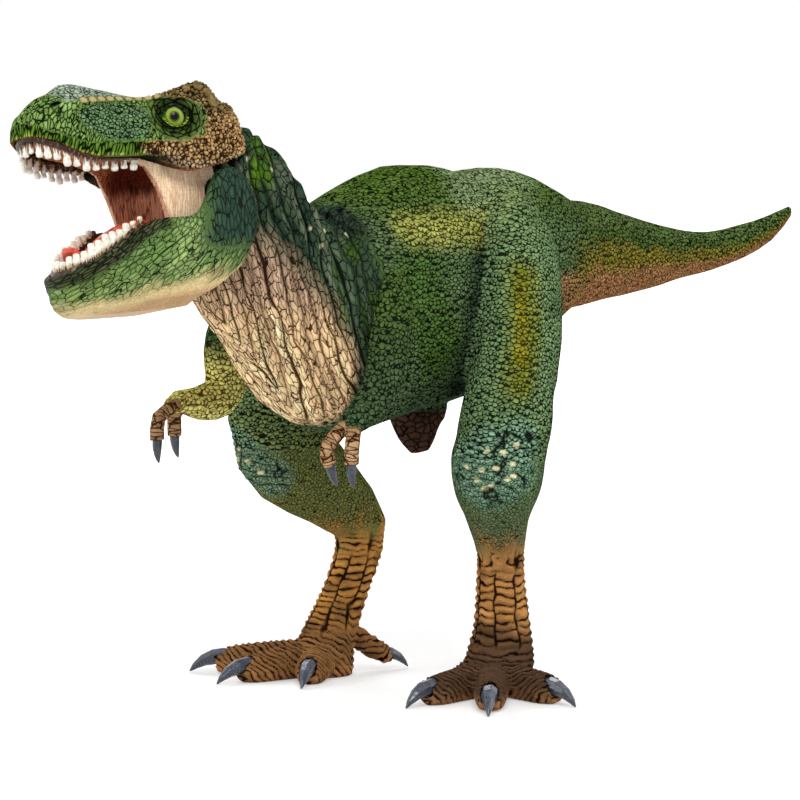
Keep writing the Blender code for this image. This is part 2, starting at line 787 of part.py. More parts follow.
def jaw_ring(row):
    forward, rim, keel, rim_half, belly_half = row
    half = [jaw_point(forward, 0, rim)]
    for width_share, belly_share, down_share in JAW_SIDE_SHARES:
        across = width_share * mix(rim_half, belly_half, belly_share)
        half.append(jaw_point(forward, across, mix(rim, keel, down_share)))
    half.append(jaw_point(forward, 0, keel))
    return mirrored(half)


def make_jaw(skin):
    jaw = loft("lower_jaw", [jaw_ring(row) for row in smooth_rows(JAW_SHARES, STATION_STEPS)], skin)
    rings = []
    for forward, half, floor in smooth_rows(TROUGH_SHARES, STATION_STEPS):
        centre = jaw_point(forward, 0, 0)
        drop = -floor * JAW_DEPTH
        rings.append(block_ring(centre, half * HEAD_WIDTH, TROUGH_TOP, drop, TROUGH_SIDES))
    combine(jaw, loft("trough", rings, skin), "DIFFERENCE")
    return jaw


def make_tongue(flesh):
    rings = []
    for forward, half, top, bottom in smooth_rows(TONGUE_SHARES, STATION_STEPS):
        centre = jaw_point(forward, 0, (top + bottom) / 2)
        rise = (top - bottom) * JAW_DEPTH / 2
        half_width = half * HEAD_WIDTH
        rings.append(block_ring(centre, half_width, rise, rise, TONGUE_SIDES, TONGUE_SQUARENESS))
    return loft("tongue", rings, flesh)


# Teeth: a gum bar along each jaw that carries its row
GUM_WIDTH = 0.0018
GUM_HEIGHT = 0.0020
GUM_SIDES = 6
GUM_SQUARENESS = 3.0
GUM_STEPS = 1
TOOTH_DEPTH = 0.0014
UPPER_TOOTH_HEIGHT = 0.0040
LOWER_TOOTH_HEIGHT = 0.0033
TOOTH_COUNT = 24
# width of a tooth beside its pitch
TOOTH_WIDTH_SHARE = 0.94
TOOTH_SIDES = 5
TOOTH_LEAN_SHARE = 0.08
# height of each tooth in turn
TOOTH_RHYTHM_SHARES = (1.0, 0.84, 0.95, 0.78, 0.92)
# height of the first and last tooth beside the others
TOOTH_REAR_SHARE = 0.72
# rise from the root and width of a tooth
TOOTH_TAPER_SHARES = ((0.0, 1.0), (1.0, 0.62))
# forward, half width and height of the bar, from its rear end to the middle
UPPER_GUM_SHARES = (
    (0.39, 0.288, 0.325),
    (0.46, 0.268, 0.33),
    (0.54, 0.252, 0.335),
    (0.62, 0.236, 0.36),
    (0.70, 0.214, 0.405),
    (0.758, 0.178, 0.455),
    (0.790, 0.126, 0.505),
    (0.808, 0.067, 0.535),
    (0.813, 0.0, 0.54),
)
LOWER_GUM_SHARES = (
    (0.465, 0.258, -0.27),
    (0.55, 0.236, -0.325),
    (0.65, 0.216, -0.41),
    (0.74, 0.192, -0.485),
    (0.80, 0.160, -0.55),
    (0.852, 0.114, -0.60),
    (0.877, 0.061, -0.63),
    (0.884, 0.0, -0.637),
)


def make_teeth(name, shares, place, height, upward, enamel):
    """A gum bar bent along the jaw, with its teeth joined on, and the bar's seat cutter."""
    left = [place(forward, -half, level) for forward, half, level in shares]
    right = [place(forward, half, level) for forward, half, level in reversed(shares[:-1])]
    path = [Vector(row) for row in smooth_rows([tuple(point) for point in left + right], GUM_STEPS)]
    up = Vector((0, 0, 1))
    last = len(path) - 1
    tangents = []
    for index in range(len(path)):
        step = path[min(index + 1, last)] - path[max(index - 1, 0)]
        tangents.append(step.normalized())
    rise = GUM_HEIGHT / 2
    rings = []
    for point, tangent in zip(path, tangents):
        side = tangent.cross(up).normalized()
        rings.append(oval(point, side, up, GUM_WIDTH / 2, rise, rise, GUM_SIDES, GUM_SQUARENESS))
    gum = loft(name, rings, enamel)
    seat = grown_copy(gum, SEAT_GAP)
    seat.name = name + "_seat"
    reaches = [0.0]
    for start, end in zip(path, path[1:]):
        reaches.append(reaches[-1] + (end - start).length)
    pitch = reaches[-1] / TOOTH_COUNT
    for number in range(TOOTH_COUNT):
        reach = pitch * (number + 0.5)
        index = max(i for i in range(last) if reaches[i] <= reach)
        share = (reach - reaches[index]) / (reaches[index + 1] - reaches[index])
        root = path[index].lerp(path[index + 1], share)
        along = tangents[index].lerp(tangents[index + 1], share)
        along.z = 0
        along.normalize()
        outward = along.cross(up)
        from_end = min(number, TOOTH_COUNT - 1 - number) / TOOTH_COUNT
        tall = height * TOOTH_RHYTHM_SHARES[number % len(TOOTH_RHYTHM_SHARES)]
        tall *= min(1, TOOTH_REAR_SHARE + from_end)
        axis = up * (upward * tall) + outward * (TOOTH_LEAN_SHARE * tall)
        rings = []
        for rise_share, width_share in TOOTH_TAPER_SHARES:
            half_width = width_share * TOOTH_WIDTH_SHARE * pitch / 2
            half_depth = width_share * TOOTH_DEPTH / 2
            centre = root + axis * rise_share
            rings.append(oval(centre, along, outward, half_width, half_depth, half_depth, TOOTH_SIDES))
        combine(gum, loft(f"{name}_{number}", rings, enamel), "UNION")
    return gum, seat


clear_scene()
GREEN = plastic("green_skin", (0.05, 0.16, 0.04), 0.5)
JAW_GREEN = plastic("jaw_skin", (0.08, 0.20, 0.06), 0.5)
HORN = plastic("slate_claw", (0.05, 0.06, 0.08), 0.3)
FLESH = plastic("mouth_flesh", (0.50, 0.19, 0.09), 0.4)
TONGUE_RED = plastic("tongue_red", (0.62, 0.05, 0.02), 0.25)
ENAMEL = plastic("ivory_teeth", (0.80, 0.76, 0.60), 0.35)
GLOSS = plastic("eye_gloss", (0.35, 0.50, 0.03), 0.1)
STEEL = plastic("pin_steel", (0.45, 0.45, 0.45), 0.35)

# The head's axes stand on the jaw hinge, turned to one side and rolled
head_axes = bpy.data.objects.new("head_axes", None)
jaw_hinge = bpy.data.objects.new("jaw_hinge", None)
for empty in (head_axes, jaw_hinge):
    bpy.context.scene.collection.objects.link(empty)
yaw = Matrix.Rotation(math.radians(-HEAD_YAW), 4, "Z")
roll = Matrix.Rotation(math.radians(-HEAD_ROLL), 4, "X")
head_axes.matrix_world = Matrix.Translation(trunk_point(*HINGE_SHARES)) @ yaw @ roll
jaw_hinge.parent = head_axes

# Trunk with the hinge barrel and the pubic boot
torso = make_torso(GREEN)
barrel_reach = Vector((0, BARREL_HALF_SHARE * HEAD_WIDTH, 0))
barrel = rod("hinge_barrel", -barrel_reach, barrel_reach, BARREL_RADIUS, PIN_SIDES, GREEN)
barrel.parent = head_axes
combine(torso, barrel, "UNION")
combine(torso, make_boot(GREEN), "UNION")
trunk_seat = grown_copy(torso, SEAT_GAP)
tail = make_tail(GREEN)

# Head with its inserts, and the jaw with its own
skull = make_skull(GREEN)
lining = make_lining(FLESH)
air = make_mouth_air(FLESH)
left_eye = make_eye("left_eye", -1, GLOSS)
right_eye = make_eye("right_eye", 1, GLOSS)
upper = (UPPER_GUM_SHARES, head_point, UPPER_TOOTH_HEIGHT, -1)
upper_teeth, upper_seat = make_teeth("upper_teeth", *upper, ENAMEL)
jaw = make_jaw(JAW_GREEN)
tongue = make_tongue(TONGUE_RED)
lower = (LOWER_GUM_SHARES, jaw_point, LOWER_TOOTH_HEIGHT, 1)
lower_teeth, lower_seat = make_teeth("lower_teeth", *lower, ENAMEL)
pin_reach = Vector((0, HEAD_WIDTH / 2 - PIN_COVER, 0))
pin = rod("jaw_pin", -pin_reach, pin_reach, PIN_RADIUS, PIN_SIDES, STEEL)
for piece in (skull, lining, air, left_eye, right_eye, upper_teeth, upper_seat, pin):
    piece.parent = head_axes
for piece in (jaw, tongue, lower_teeth, lower_seat):
    piece.parent = jaw_hinge
for insert in (lining, left_eye, right_eye):
    seat_in(skull, insert)
combine(skull, spare_copy(upper_seat), "DIFFERENCE")
combine(skull, spare_copy(trunk_seat), "DIFFERENCE")
combine(lining, spare_copy(trunk_seat), "DIFFERENCE")
combine(lining, air, "DIFFERENCE")
combine(lining, upper_seat, "DIFFERENCE")
combine(jaw, lower_seat, "DIFFERENCE")
seat_in(jaw, tongue)
bore_reach = Vector((0, HEAD_WIDTH / 2 - PIN_COVER + SEAT_GAP, 0))
for carrier in (jaw, torso):
    bore = rod("pin_bore", -bore_reach, bore_reach, PIN_RADIUS + BORE_GAP, PIN_SIDES, STEEL)
    bore.parent = head_axes
    combine(carrier, bore, "DIFFERENCE")

# Limbs, each cut to the trunk and plugged into it
for side_name, side_sign, leg_shares, heading, toes, arm_shares, fingers in (
    ("left", -1, LEFT_LEG_SHARES, LEFT_HEADING, LEFT_TOE_SHARES, LEFT_ARM_SHARES, LEFT_FINGER_SHARES),
    ("right", 1, RIGHT_LEG_SHARES, RIGHT_HEADING, RIGHT_TOE_SHARES, RIGHT_ARM_SHARES, RIGHT_FINGER_SHARES),
):
    leg = make_leg(f"{side_name}_leg", side_sign, leg_shares, heading, toes, GREEN, HORN)
    arm = make_arm(f"{side_name}_arm", side_sign, arm_shares, fingers, GREEN, HORN)
    for limb_piece in (leg, arm):
        combine(limb_piece, spare_copy(trunk_seat), "DIFFERENCE")
    x_share, y_share, z_share = leg_shares[HIP_ROW][:3]
    start = leg_point(side_sign, x_share, y_share, z_share)
    inward = Vector((0, -side_sign, 0))
    add_peg(leg, torso, start, start + inward * HIP_PEG_LENGTH, HIP_PEG_RADIUS)
    x_share, y_share, z_share = arm_shares[SHOULDER_ROW][:3]
    start = trunk_point(x_share, side_sign * y_share, z_share)
    add_peg(arm, torso, start, start + inward * SHOULDER_PEG_LENGTH, SHOULDER_PEG_RADIUS)
bpy.data.objects.remove(trunk_seat)

# The tail plugs into the rear of the trunk
start = trunk_point(TAIL_ROOT_SHARE, 0, TAIL_PEG_HEIGHT_SHARE)
reach = Vector((TAIL_PEG_LENGTH, 0, 0))
add_peg(tail, torso, start + reach, start - reach, TAIL_PEG_RADIUS)

skins = [piece for piece in bpy.data.objects if piece.type == "MESH"]
for piece in skins:
    clean_skin(piece, True)

# The origin goes to the floor under the middle of the whole figure
bpy.context.view_layer.update()
places = [piece.matrix_world @ vertex.co for piece in skins for vertex in piece.data.vertices]
spans = [(min(place[way] for place in places), max(place[way] for place in places)) for way in (0, 1)]
middle = Vector((*(sum(span) / len(span) for span in spans), 0))
for piece in bpy.data.objects:
    if piece.parent is None:
        piece.location -= middle
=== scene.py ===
import contextlib
import itertools
import math

import bpy
import numpy as np
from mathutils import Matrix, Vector


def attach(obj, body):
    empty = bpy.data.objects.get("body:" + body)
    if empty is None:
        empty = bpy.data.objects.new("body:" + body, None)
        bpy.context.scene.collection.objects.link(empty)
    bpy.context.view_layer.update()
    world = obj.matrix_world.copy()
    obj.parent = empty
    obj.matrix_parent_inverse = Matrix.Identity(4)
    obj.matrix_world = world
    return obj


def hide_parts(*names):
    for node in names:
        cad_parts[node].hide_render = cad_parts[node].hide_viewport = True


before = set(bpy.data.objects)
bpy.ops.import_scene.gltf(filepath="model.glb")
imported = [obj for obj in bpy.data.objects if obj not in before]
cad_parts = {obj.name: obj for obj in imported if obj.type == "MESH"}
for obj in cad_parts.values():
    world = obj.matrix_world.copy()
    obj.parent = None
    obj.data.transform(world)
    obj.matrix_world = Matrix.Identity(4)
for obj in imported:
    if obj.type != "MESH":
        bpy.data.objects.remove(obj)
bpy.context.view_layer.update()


# Studio: a white table under soft daylight boxes, seen from the left front at the height of the
# figure's back. The table stays white around the figure and keeps a soft shadow under its feet.
CAMERA_PLACE = (-0.6005, -0.5225, 0.1261)
CAMERA_AIM = (-0.0161, 0.0, 0.0685)
CAMERA_LENS = 152.7
FLOOR_SIZE = 12.0
FLOOR_WHITE = "#e4e4e4"
FLOOR_LIFT = 0.34
FLOOR_FADE = (0.35, 1.1)
ROOM_LIGHT = 0.50
LIGHT_AIM = (0.0, 0.0, 0.07)
# the point on the table under the hips: every place given in mm is counted from it
UNDER_HIPS = Vector((-0.0064127, -0.0074, 0.0))
# name, place, size and power of each light box; all of them face the figure
LIGHT_BOXES = (
    ("key_box", (-0.9, -0.9, 1.3), 0.7, 16.5),
    ("side_box", (-1.1, 0.7, 0.6), 0.8, 5.0),
    ("back_box", (0.7, 0.9, 1.2), 0.9, 8.0),
    ("right_box", (1.0, -1.0, 0.7), 0.8, 4.5),
)


def linear(code):
    """The linear colour that a shader takes for a paint's sRGB hex code."""
    shares = [int(code[k:k + 2], 16) / 255 for k in (1, 3, 5)]
    flat = [s / 12.92 if s <= 0.04045 else ((s + 0.055) / 1.055) ** 2.4 for s in shares]
    return tuple(flat) + (1.0,)


def add_node(tree, kind, feeds=None, **settings):
    """Adds a shader node with its settings, and feeds its sockets with links or plain values."""
    node = tree.nodes.new("ShaderNode" + kind)
    for name, value in settings.items():
        setattr(node, name, value)
    for socket, value in (feeds or {}).items():
        if isinstance(value, bpy.types.NodeSocket):
            tree.links.new(value, node.inputs[socket])
        else:
            node.inputs[socket].default_value = value
    return node


def maths(tree, operation, *values):
    """The result of a maths node on links or plain numbers."""
    return add_node(tree, "Math", dict(enumerate(values)), operation=operation).outputs[0]


def vectors(tree, operation, *values, socket="Vector"):
    """The result of a maths node on directions or colours."""
    return add_node(tree, "VectorMath", dict(enumerate(values)), operation=operation).outputs[socket]


def remap(tree, value, start=(0.0, 1.0), end=(0.0, 1.0), **settings):
    """A value moved from one range to another and held inside it."""
    return add_node(tree, "MapRange", {"Value": value, "From Min": start[0], "From Max": start[1],
                                       "To Min": end[0], "To Max": end[1]}, **settings).outputs[0]


def mixed(tree, share, under, over):
    """Two colours blended by the share of the second."""
    feeds = {"Factor": share, "A": under, "B": over}
    return add_node(tree, "Mix", feeds, data_type="RGBA").outputs["Result"]


def stored(tree, name, socket="Fac"):
    """What the mesh keeps under that name at each of its points."""
    return add_node(tree, "Attribute", attribute_name=name).outputs[socket]


def new_material(name):
    """An empty material with its tree and output node."""
    material = bpy.data.materials.new(name)
    material.use_nodes = True
    material.node_tree.nodes.clear()
    return material, material.node_tree, add_node(material.node_tree, "OutputMaterial")


def principled(tree, output, feeds):
    """Gives the material a Principled shader with those feeds."""
    shader = add_node(tree, "BsdfPrincipled", feeds)
    tree.links.new(shader.outputs[0], output.inputs["Surface"])


def choose(piece):
    """Selects the piece alone and makes it the active one."""
    bpy.ops.object.select_all(action="DESELECT")
    piece.select_set(True)
    bpy.context.view_layer.objects.active = piece


@contextlib.contextmanager
def open_mesh():
    """Opens the active piece's mesh for editing and closes it after the steps."""
    bpy.ops.object.mode_set(mode="EDIT")
    yield
    bpy.ops.object.mode_set(mode="OBJECT")


def aim(thing, place, target):
    """Puts a camera or lamp at a place over the table, turned to the target."""
    thing.location = Vector(place) + UNDER_HIPS
    thing.rotation_euler = (Vector(target) - Vector(place)).to_track_quat("-Z", "Y").to_euler()


camera = bpy.data.objects.new("camera", bpy.data.cameras.new("camera"))
bpy.context.scene.collection.objects.link(camera)
camera.data.lens = CAMERA_LENS
camera.data.sensor_width = 36.0
camera.data.clip_end = 50.0
aim(camera, CAMERA_PLACE, CAMERA_AIM)
bpy.context.scene.camera = camera
bpy.context.scene.view_settings.view_transform = "Standard"

for name, place, size, power in LIGHT_BOXES:
    lamp = bpy.data.objects.new(name, bpy.data.lights.new(name, "AREA"))
    bpy.context.scene.collection.objects.link(lamp)
    lamp.data.size = size
    lamp.data.energy = power
    aim(lamp, place, LIGHT_AIM)


def seen_directly(tree):
    """One where the camera looks at the studio, straight or through gloss or glass."""
    path = add_node(tree, "LightPath").outputs
    either = maths(tree, "MAXIMUM", path["Is Camera Ray"], path["Is Glossy Ray"])
    return maths(tree, "MAXIMUM", either, path["Is Transmission Ray"])


world = bpy.data.worlds.new("white_room")
bpy.context.scene.world = world
world.use_nodes = True
tree = world.node_tree
tree.nodes.clear()
seen = seen_directly(tree)
strength = remap(tree, seen, end=(ROOM_LIGHT, 1.0))
sky = add_node(tree, "Background", {"Color": linear("#ffffff"), "Strength": strength})
add_node(tree, "OutputWorld", {"Surface": sky.outputs[0]})

# Painted board: a matt white top that the eye reads as paper.
board_paint, tree, output = new_material("matt_white_board")
seen = seen_directly(tree)
matt = add_node(tree, "BsdfDiffuse", {"Color": linear(FLOOR_WHITE)})
away = vectors(tree, "LENGTH", add_node(tree, "TexCoord").outputs["Object"], socket="Value")
lift = maths(tree, "MULTIPLY", seen, remap(tree, away, FLOOR_FADE, (FLOOR_LIFT, 1.0)))
glow = add_node(tree, "Emission", {"Color": linear("#ffffff"), "Strength": lift})
both = add_node(tree, "AddShader", {0: matt.outputs[0], 1: glow.outputs[0]})
tree.links.new(both.outputs[0], output.inputs["Surface"])
bpy.ops.mesh.primitive_plane_add(size=FLOOR_SIZE, location=(0, 0, 0))
board = bpy.context.object
board.name = "white_board"
board.data.materials.append(board_paint)


# Body hide: trunk, neck, tail and legs are hollow mouldings in soft vinyl, glued together and the
# joints filled before painting, so one hide runs over them all. Scales, folds and creases are cut in
# the mould. It is sprayed in greens, washed dark in the grooves and brushed lighter on the scales;
# the lighter brush is partly a painted highlight, and a painted shadow lies under each scale.
MM = 0.001
MERGE_DISTANCE = 0.00001
HIDE_NODES = ("torso", "tail", "left_leg", "right_leg")
HIDE_PITCH = 0.40
HIDE_SMOOTHING = 8
# how thick in mm the filler lies over a joint, how far it reaches, and how often it is rubbed smooth
JOINT_FILL = 0.3
JOINT_REACH = (2.0, 5.5)
JOINT_SMOOTHING = 60
JOINT_SEARCH = 8.0
# how much one painted scale differs from the next in tone, and how high it stands
SCALE_TONE = 0.2
SCALE_RELIEF = 1.9
BAND_TONE = 0.15
# the middle range of the mottle, the depth in mm of what only the shading shows, and how much lighter
# and warmer the brush, partly a painted highlight, leaves what stands out
MOTTLE_RANGE = (0.3, 0.7)
SHADING_DEPTH = 0.12
BRUSH_HIGHLIGHT_LIFT, BRUSH_HIGHLIGHT_TINT = (1.9, 1.9, 1.9), (0.012, 0.012, 0.006)


def merged_copy(name, nodes):
    """A piece made of CAD nodes' meshes, with their loose triangles merged, left in its own mesh."""
    bpy.ops.object.select_all(action="DESELECT")
    copies = []
    for node in nodes:
        copy = bpy.data.objects.new(name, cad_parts[node].data.copy())
        bpy.context.scene.collection.objects.link(copy)
        copy.data.materials.clear()
        copy.select_set(True)
        copies.append(copy)
    bpy.context.view_layer.objects.active = copies[0]
    if len(copies) > 1:
        bpy.ops.object.join()
    piece = bpy.context.object
    with open_mesh():
        bpy.ops.mesh.select_all(action="SELECT")
        bpy.ops.mesh.remove_doubles(threshold=MERGE_DISTANCE)
    for layer in list(piece.data.attributes):
        if not layer.is_required and not layer.is_internal:
            piece.data.attributes.remove(layer)
    return piece


def apply_modifier(piece, kind, **settings):
    """Adds a modifier with its settings and makes its result the piece's own mesh."""
    modifier = piece.modifiers.new(kind.lower(), kind)
    for name, value in settings.items():
        setattr(modifier, name, value)
    bpy.context.view_layer.objects.active = piece
    bpy.ops.object.modifier_apply(modifier=modifier.name)


def fine_copy(name, nodes, pitch, smoothing):
    """A merged copy with an even skin of small faces, pitch in mm, and its CAD facets rounded off."""
    piece = merged_copy(name, nodes)
    if len(nodes) > 1:
        push_out(piece, np.full(len(piece.data.vertices), JOINT_FILL))
    apply_modifier(piece, "REMESH", mode="VOXEL", voxel_size=pitch * MM, use_smooth_shade=True)
    apply_modifier(piece, "SMOOTH", factor=0.5, iterations=smoothing)
    return piece


def points_of(piece):
    """The piece's vertices and their outward directions, in mm."""
    count = len(piece.data.vertices)
    points, normals = np.empty(count * 3, np.float32), np.empty(count * 3, np.float32)
    piece.data.vertices.foreach_get("co", points)
    piece.data.vertex_normals.foreach_get("vector", normals)
    places = (points.reshape(-1, 3).astype(float) - np.array(UNDER_HIPS)) / MM
    return places, normals.reshape(-1, 3).astype(float)


def push_out(piece, heights):
    """Moves every vertex outwards by its height in mm."""
    points, normals = points_of(piece)
    moved = (points + normals * heights[:, None]) * MM + np.array(UNDER_HIPS)
    piece.data.vertices.foreach_set("co", moved.astype(np.float32).ravel())
    piece.data.update()


def distance_to(piece, node, reach):
    """How far in mm each vertex lies from a CAD node's skin, and the reach where that is farther."""
    group = piece.vertex_groups.new(name=node)
    group.add(list(range(len(piece.data.vertices))), 1.0, "REPLACE")
    apply_modifier(piece, "VERTEX_WEIGHT_PROXIMITY", vertex_group=node, target=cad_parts[node],
                   proximity_mode="GEOMETRY", proximity_geometry={"FACE"}, min_dist=0.0, max_dist=reach * MM)
    shares = np.fromiter((vertex.groups[0].weight for vertex in piece.data.vertices), float)
    piece.vertex_groups.clear()
    return shares * reach


def ease(value, low, high):
    """0 below low, 1 above high, and a soft slope between."""
    share = np.clip((value - low) / (high - low), 0, 1)
    return share * share * (3 - 2 * share)


def fall(value, low, high):
    """1 below low, 0 above high, and a soft slope between."""
    return 1 - ease(value, low, high)


def dice(grid, seed):
    """One steady throw between 0 and 1 for each whole-number place."""
    g = grid.astype(np.int64)
    n = (g[:, 0] * 73856093) ^ (g[:, 1] * 19349663) ^ (g[:, 2] * 83492791) ^ (seed * 374761393)
    n = ((n ^ (n >> 13)) * 1274126177) & 0xFFFFFFFF
    n = ((n ^ (n >> 16)) * 2246822519) & 0xFFFFFFFF
    return (n ^ (n >> 15)) / 4294967296.0


def cloud(places, seed, layers=2):
    """Soft unevenness between -1 and 1 that changes over about one unit."""
    total, weight = np.zeros(len(places)), 0.0
    for layer in range(layers):
        spot = places * 2 ** layer
        base = np.floor(spot)
        part = spot - base
        part = part * part * (3 - 2 * part)
        for corner in itertools.product((0, 1), repeat=3):
            share = np.prod(np.where(corner, part, 1 - part), axis=1)
            total += share * dice(base + corner, seed + layer) / 2 ** layer
        weight += 1 / 2 ** layer
    return 2 * total / weight - 1


def patches(places, seed, low, high):
    """Soft patches: 1 where the cloud is above high and 0 where it is below low."""
    return ease(cloud(places, seed), low, high)


def cells(places, seed, loose):
    """For scales one unit wide: how far in from its edge each place lies, and each scale's own throw."""
    first, second, own = np.full(len(places), 9.0), np.full(len(places), 9.0), np.zeros(len(places))
    base = np.floor(places - 0.5)
    for corner in itertools.product((0, 1), repeat=3):
        home = base + corner
        throws = np.stack([dice(home, seed + k) for k in range(3)], 1)
        away = np.linalg.norm(places - home - 0.5 - loose * (throws - 0.5), axis=1)
        nearer = away < first
        second = np.where(nearer, first, np.minimum(second, away))
        own = np.where(nearer, throws[:, 0], own)
        first = np.where(nearer, away, first)
    return np.clip(second - first, 0, 1), own


def smooth_line(stations, steps=6):
    """A smooth line through the stations."""
    p = np.array(stations, float)
    p = np.vstack([2 * p[0] - p[1], p, 2 * p[-1] - p[-2]])
    rows = []
    for a, b, c, d in zip(p, p[1:], p[2:], p[3:]):
        for t in np.arange(steps) / steps:
            rows.append(0.5 * (2 * b + (c - a) * t + (2 * a - 5 * b + 4 * c - d) * t * t
                               + (3 * b - a - 3 * c + d) * t ** 3))
    return np.array(rows + [p[-2]])


def follow(points, stations):
    """Along a limb's middle line: the way walked, the turn round it from the left side, the distance."""
    line = smooth_line(stations)
    near = np.full(len(points), 1e9)
    along, offset, heading = np.zeros(len(points)), np.zeros_like(points), np.zeros_like(points)
    walked = 0.0
    for a, b in zip(line, line[1:]):
        step = b - a
        length = np.linalg.norm(step)
        t = np.clip((points - a) @ step / length ** 2, 0, 1)
        off = points - a - t[:, None] * step
        away = np.linalg.norm(off, axis=1)
        closer = away < near
        near[closer], along[closer] = away[closer], walked + t[closer] * length
        offset[closer], heading[closer] = off[closer], step / length
        walked += length
    side = np.array([0.0, -1.0, 0.0])
    rise = np.einsum("ij,ij->i", offset, np.cross(side, heading))
    return along, np.arctan2(rise, offset @ side), near


def around_spots(points, spots, radius, soft):
    """1 within the radius of a chain of spots and 0 past the soft rim; one spot is a dot."""
    chain = [np.array(s, float) for s in spots]
    near = np.full(len(points), 1e9)
    for a, b in zip(chain, chain[1:] or chain):
        step = b - a
        t = np.clip((points - a) @ step / max(step @ step, 1e-9), 0, 1)
        near = np.minimum(near, np.linalg.norm(points - a - t[:, None] * step, axis=1))
    return fall(near, radius, radius + soft)


class Hide:
    """The moulded relief and the coats of paint of one skin, gathered before they are laid on it."""

    def __init__(self, piece, base, wash):
        self.piece = piece
        self.points, self.normals = points_of(piece)
        count = len(self.points)
        self.height, self.groove, self.raised = np.zeros(count), np.zeros(count), np.zeros(count)
        self.paint = np.tile(linear(base), (count, 1))
        self.wash = np.tile(linear(wash), (count, 1))
        self.cell = self.points.copy()
        self.pebbled, self.gap = np.zeros(count), np.full(count, 0.2)
        self.lap, self.loose = np.zeros(count), np.ones(count)

    def coat(self, mask, paint, wash):
        """Sprays a colour over the mask, with the wash that goes into its grooves."""
        for layer, code in ((self.paint, paint), (self.wash, wash)):
            layer += (np.array(linear(code)) - layer) * np.clip(mask, 0, 1)[:, None]

    def coats(self, *rows):
        """Sprays several coats, one over the other, each with its mask, paint and wash."""
        for mask, paint, wash in rows:
            self.coat(mask, paint, wash)

    def cut(self, mask, inward, own, height, gap, tone=0.2, depth=1.0):
        """Raises rounded forms by height mm over the mask, with grooves along their edges, from how
        far in from its edge each place lies; depth is how much wash the grooves hold."""
        dome = ease(inward, 0.0, 0.5)
        self.height += mask * height * (dome - 0.6)
        self.groove = np.maximum(self.groove, mask * depth * np.clip(1 - inward / gap, 0, 1))
        self.raised += (dome - self.raised) * mask * np.minimum(depth, 1)
        self.paint[:, :3] *= (1 + mask * tone * (own - 0.5) * 2)[:, None]

    def scales(self, mask, size, stretch, seed, height, gap, tone=0.2, loose=0.62, depth=1.0):
        """Cuts scales of that size in mm over the mask; stretch makes them longer along an axis."""
        inward, own = np.full(len(mask), 0.5), np.full(len(mask), 0.5)
        pick = mask > 0.01
        inward[pick], own[pick] = cells(self.points[pick] / (size * np.array(stretch)), seed, loose)
        self.cut(mask, inward, own, height, gap, tone, depth)

    def pebbles(self, mask, size, stretch=(1, 1, 1), gap=0.16, lap=0.0, loose=1.0, places=None,
                strength=1.0):
        """Gives the mask scales of that size in mm, which the paint draws finer than the mesh is. The
        gap is the groove round each; the shadow setting widens it below each scale into a painted
        shadow; and loose 0 lays them in straight rows."""
        spots = (self.points if places is None else places) / (size * np.array(stretch))
        pick = mask > 0.5
        self.cell[pick] = spots[pick]
        self.gap[pick], self.lap[pick], self.loose[pick] = gap, lap, loose
        self.pebbled[pick] = strength * ease(mask[pick], 0.4, 0.7)

    def folds(self, mask, across, height, gap, seed, tone=0.12):
        """Presses long creases where the count across them passes a whole number."""
        crease = np.round(across)
        own = dice(np.stack([crease, crease * 0, crease * 0], 1), seed)
        self.cut(mask, np.abs(across - crease), own, height, gap, tone, 0.55 + 0.45 * own)

    def bands(self, mask, rows, columns, height, gap=0.24, depth=1.0):
        """Cuts cross bands over the mask: rows counts them along, columns counts them across."""
        column = np.floor(columns)
        shifted = rows + 0.5 * (column % 2)
        row = np.floor(shifted)
        along, across = shifted - row, columns - column
        inward = np.minimum(np.minimum(along, 1 - along), 2.2 * np.minimum(across, 1 - across))
        own = dice(np.stack([row, column, row * 0], 1), 7)
        self.cut(mask, inward, own, height, gap, BAND_TONE, depth)

    def bumps(self, places, spots, radius, height, dark=0.6):
        """Raises a round knob, or sinks a pit, at each spot."""
        for spot in spots:
            away = np.linalg.norm(places - np.array(spot, float), axis=1) / radius
            near = away < 1.35
            dome = np.sqrt(np.clip(1 - away[near] ** 2, 0, 1))
            self.height[near] += height * dome
            rim = np.clip(1 - np.abs(away[near] - 1.05) / 0.3, 0, 1) if height > 0 else dome
            self.groove[near] = np.maximum(self.groove[near] * (1 - dome), dark * rim)
            self.raised[near] = np.maximum(self.raised[near], dome * (height > 0))

    def finish(self, material):
        """Moves the vertices and stores the paint on the piece."""
        push_out(self.piece, self.height)
        data = self.piece.data
        self.paint[:, 3] = self.wash[:, 3] = 1
        fields = {"FLOAT_COLOR": ("color", ("paint", "wash")),
                  "FLOAT": ("value", ("groove", "raised", "pebbled", "gap", "lap", "loose"))}
        for kind, (field, names) in fields.items():
            for name in names:
                values = np.clip(getattr(self, name), 0, 1).astype(np.float32)
                data.attributes.new(name, kind, "POINT").data.foreach_set(field, values.ravel())
        layer = data.attributes.new("cell", "FLOAT_VECTOR", "POINT")
        layer.data.foreach_set("vector", self.cell.astype(np.float32).ravel())
        data.materials.append(material)


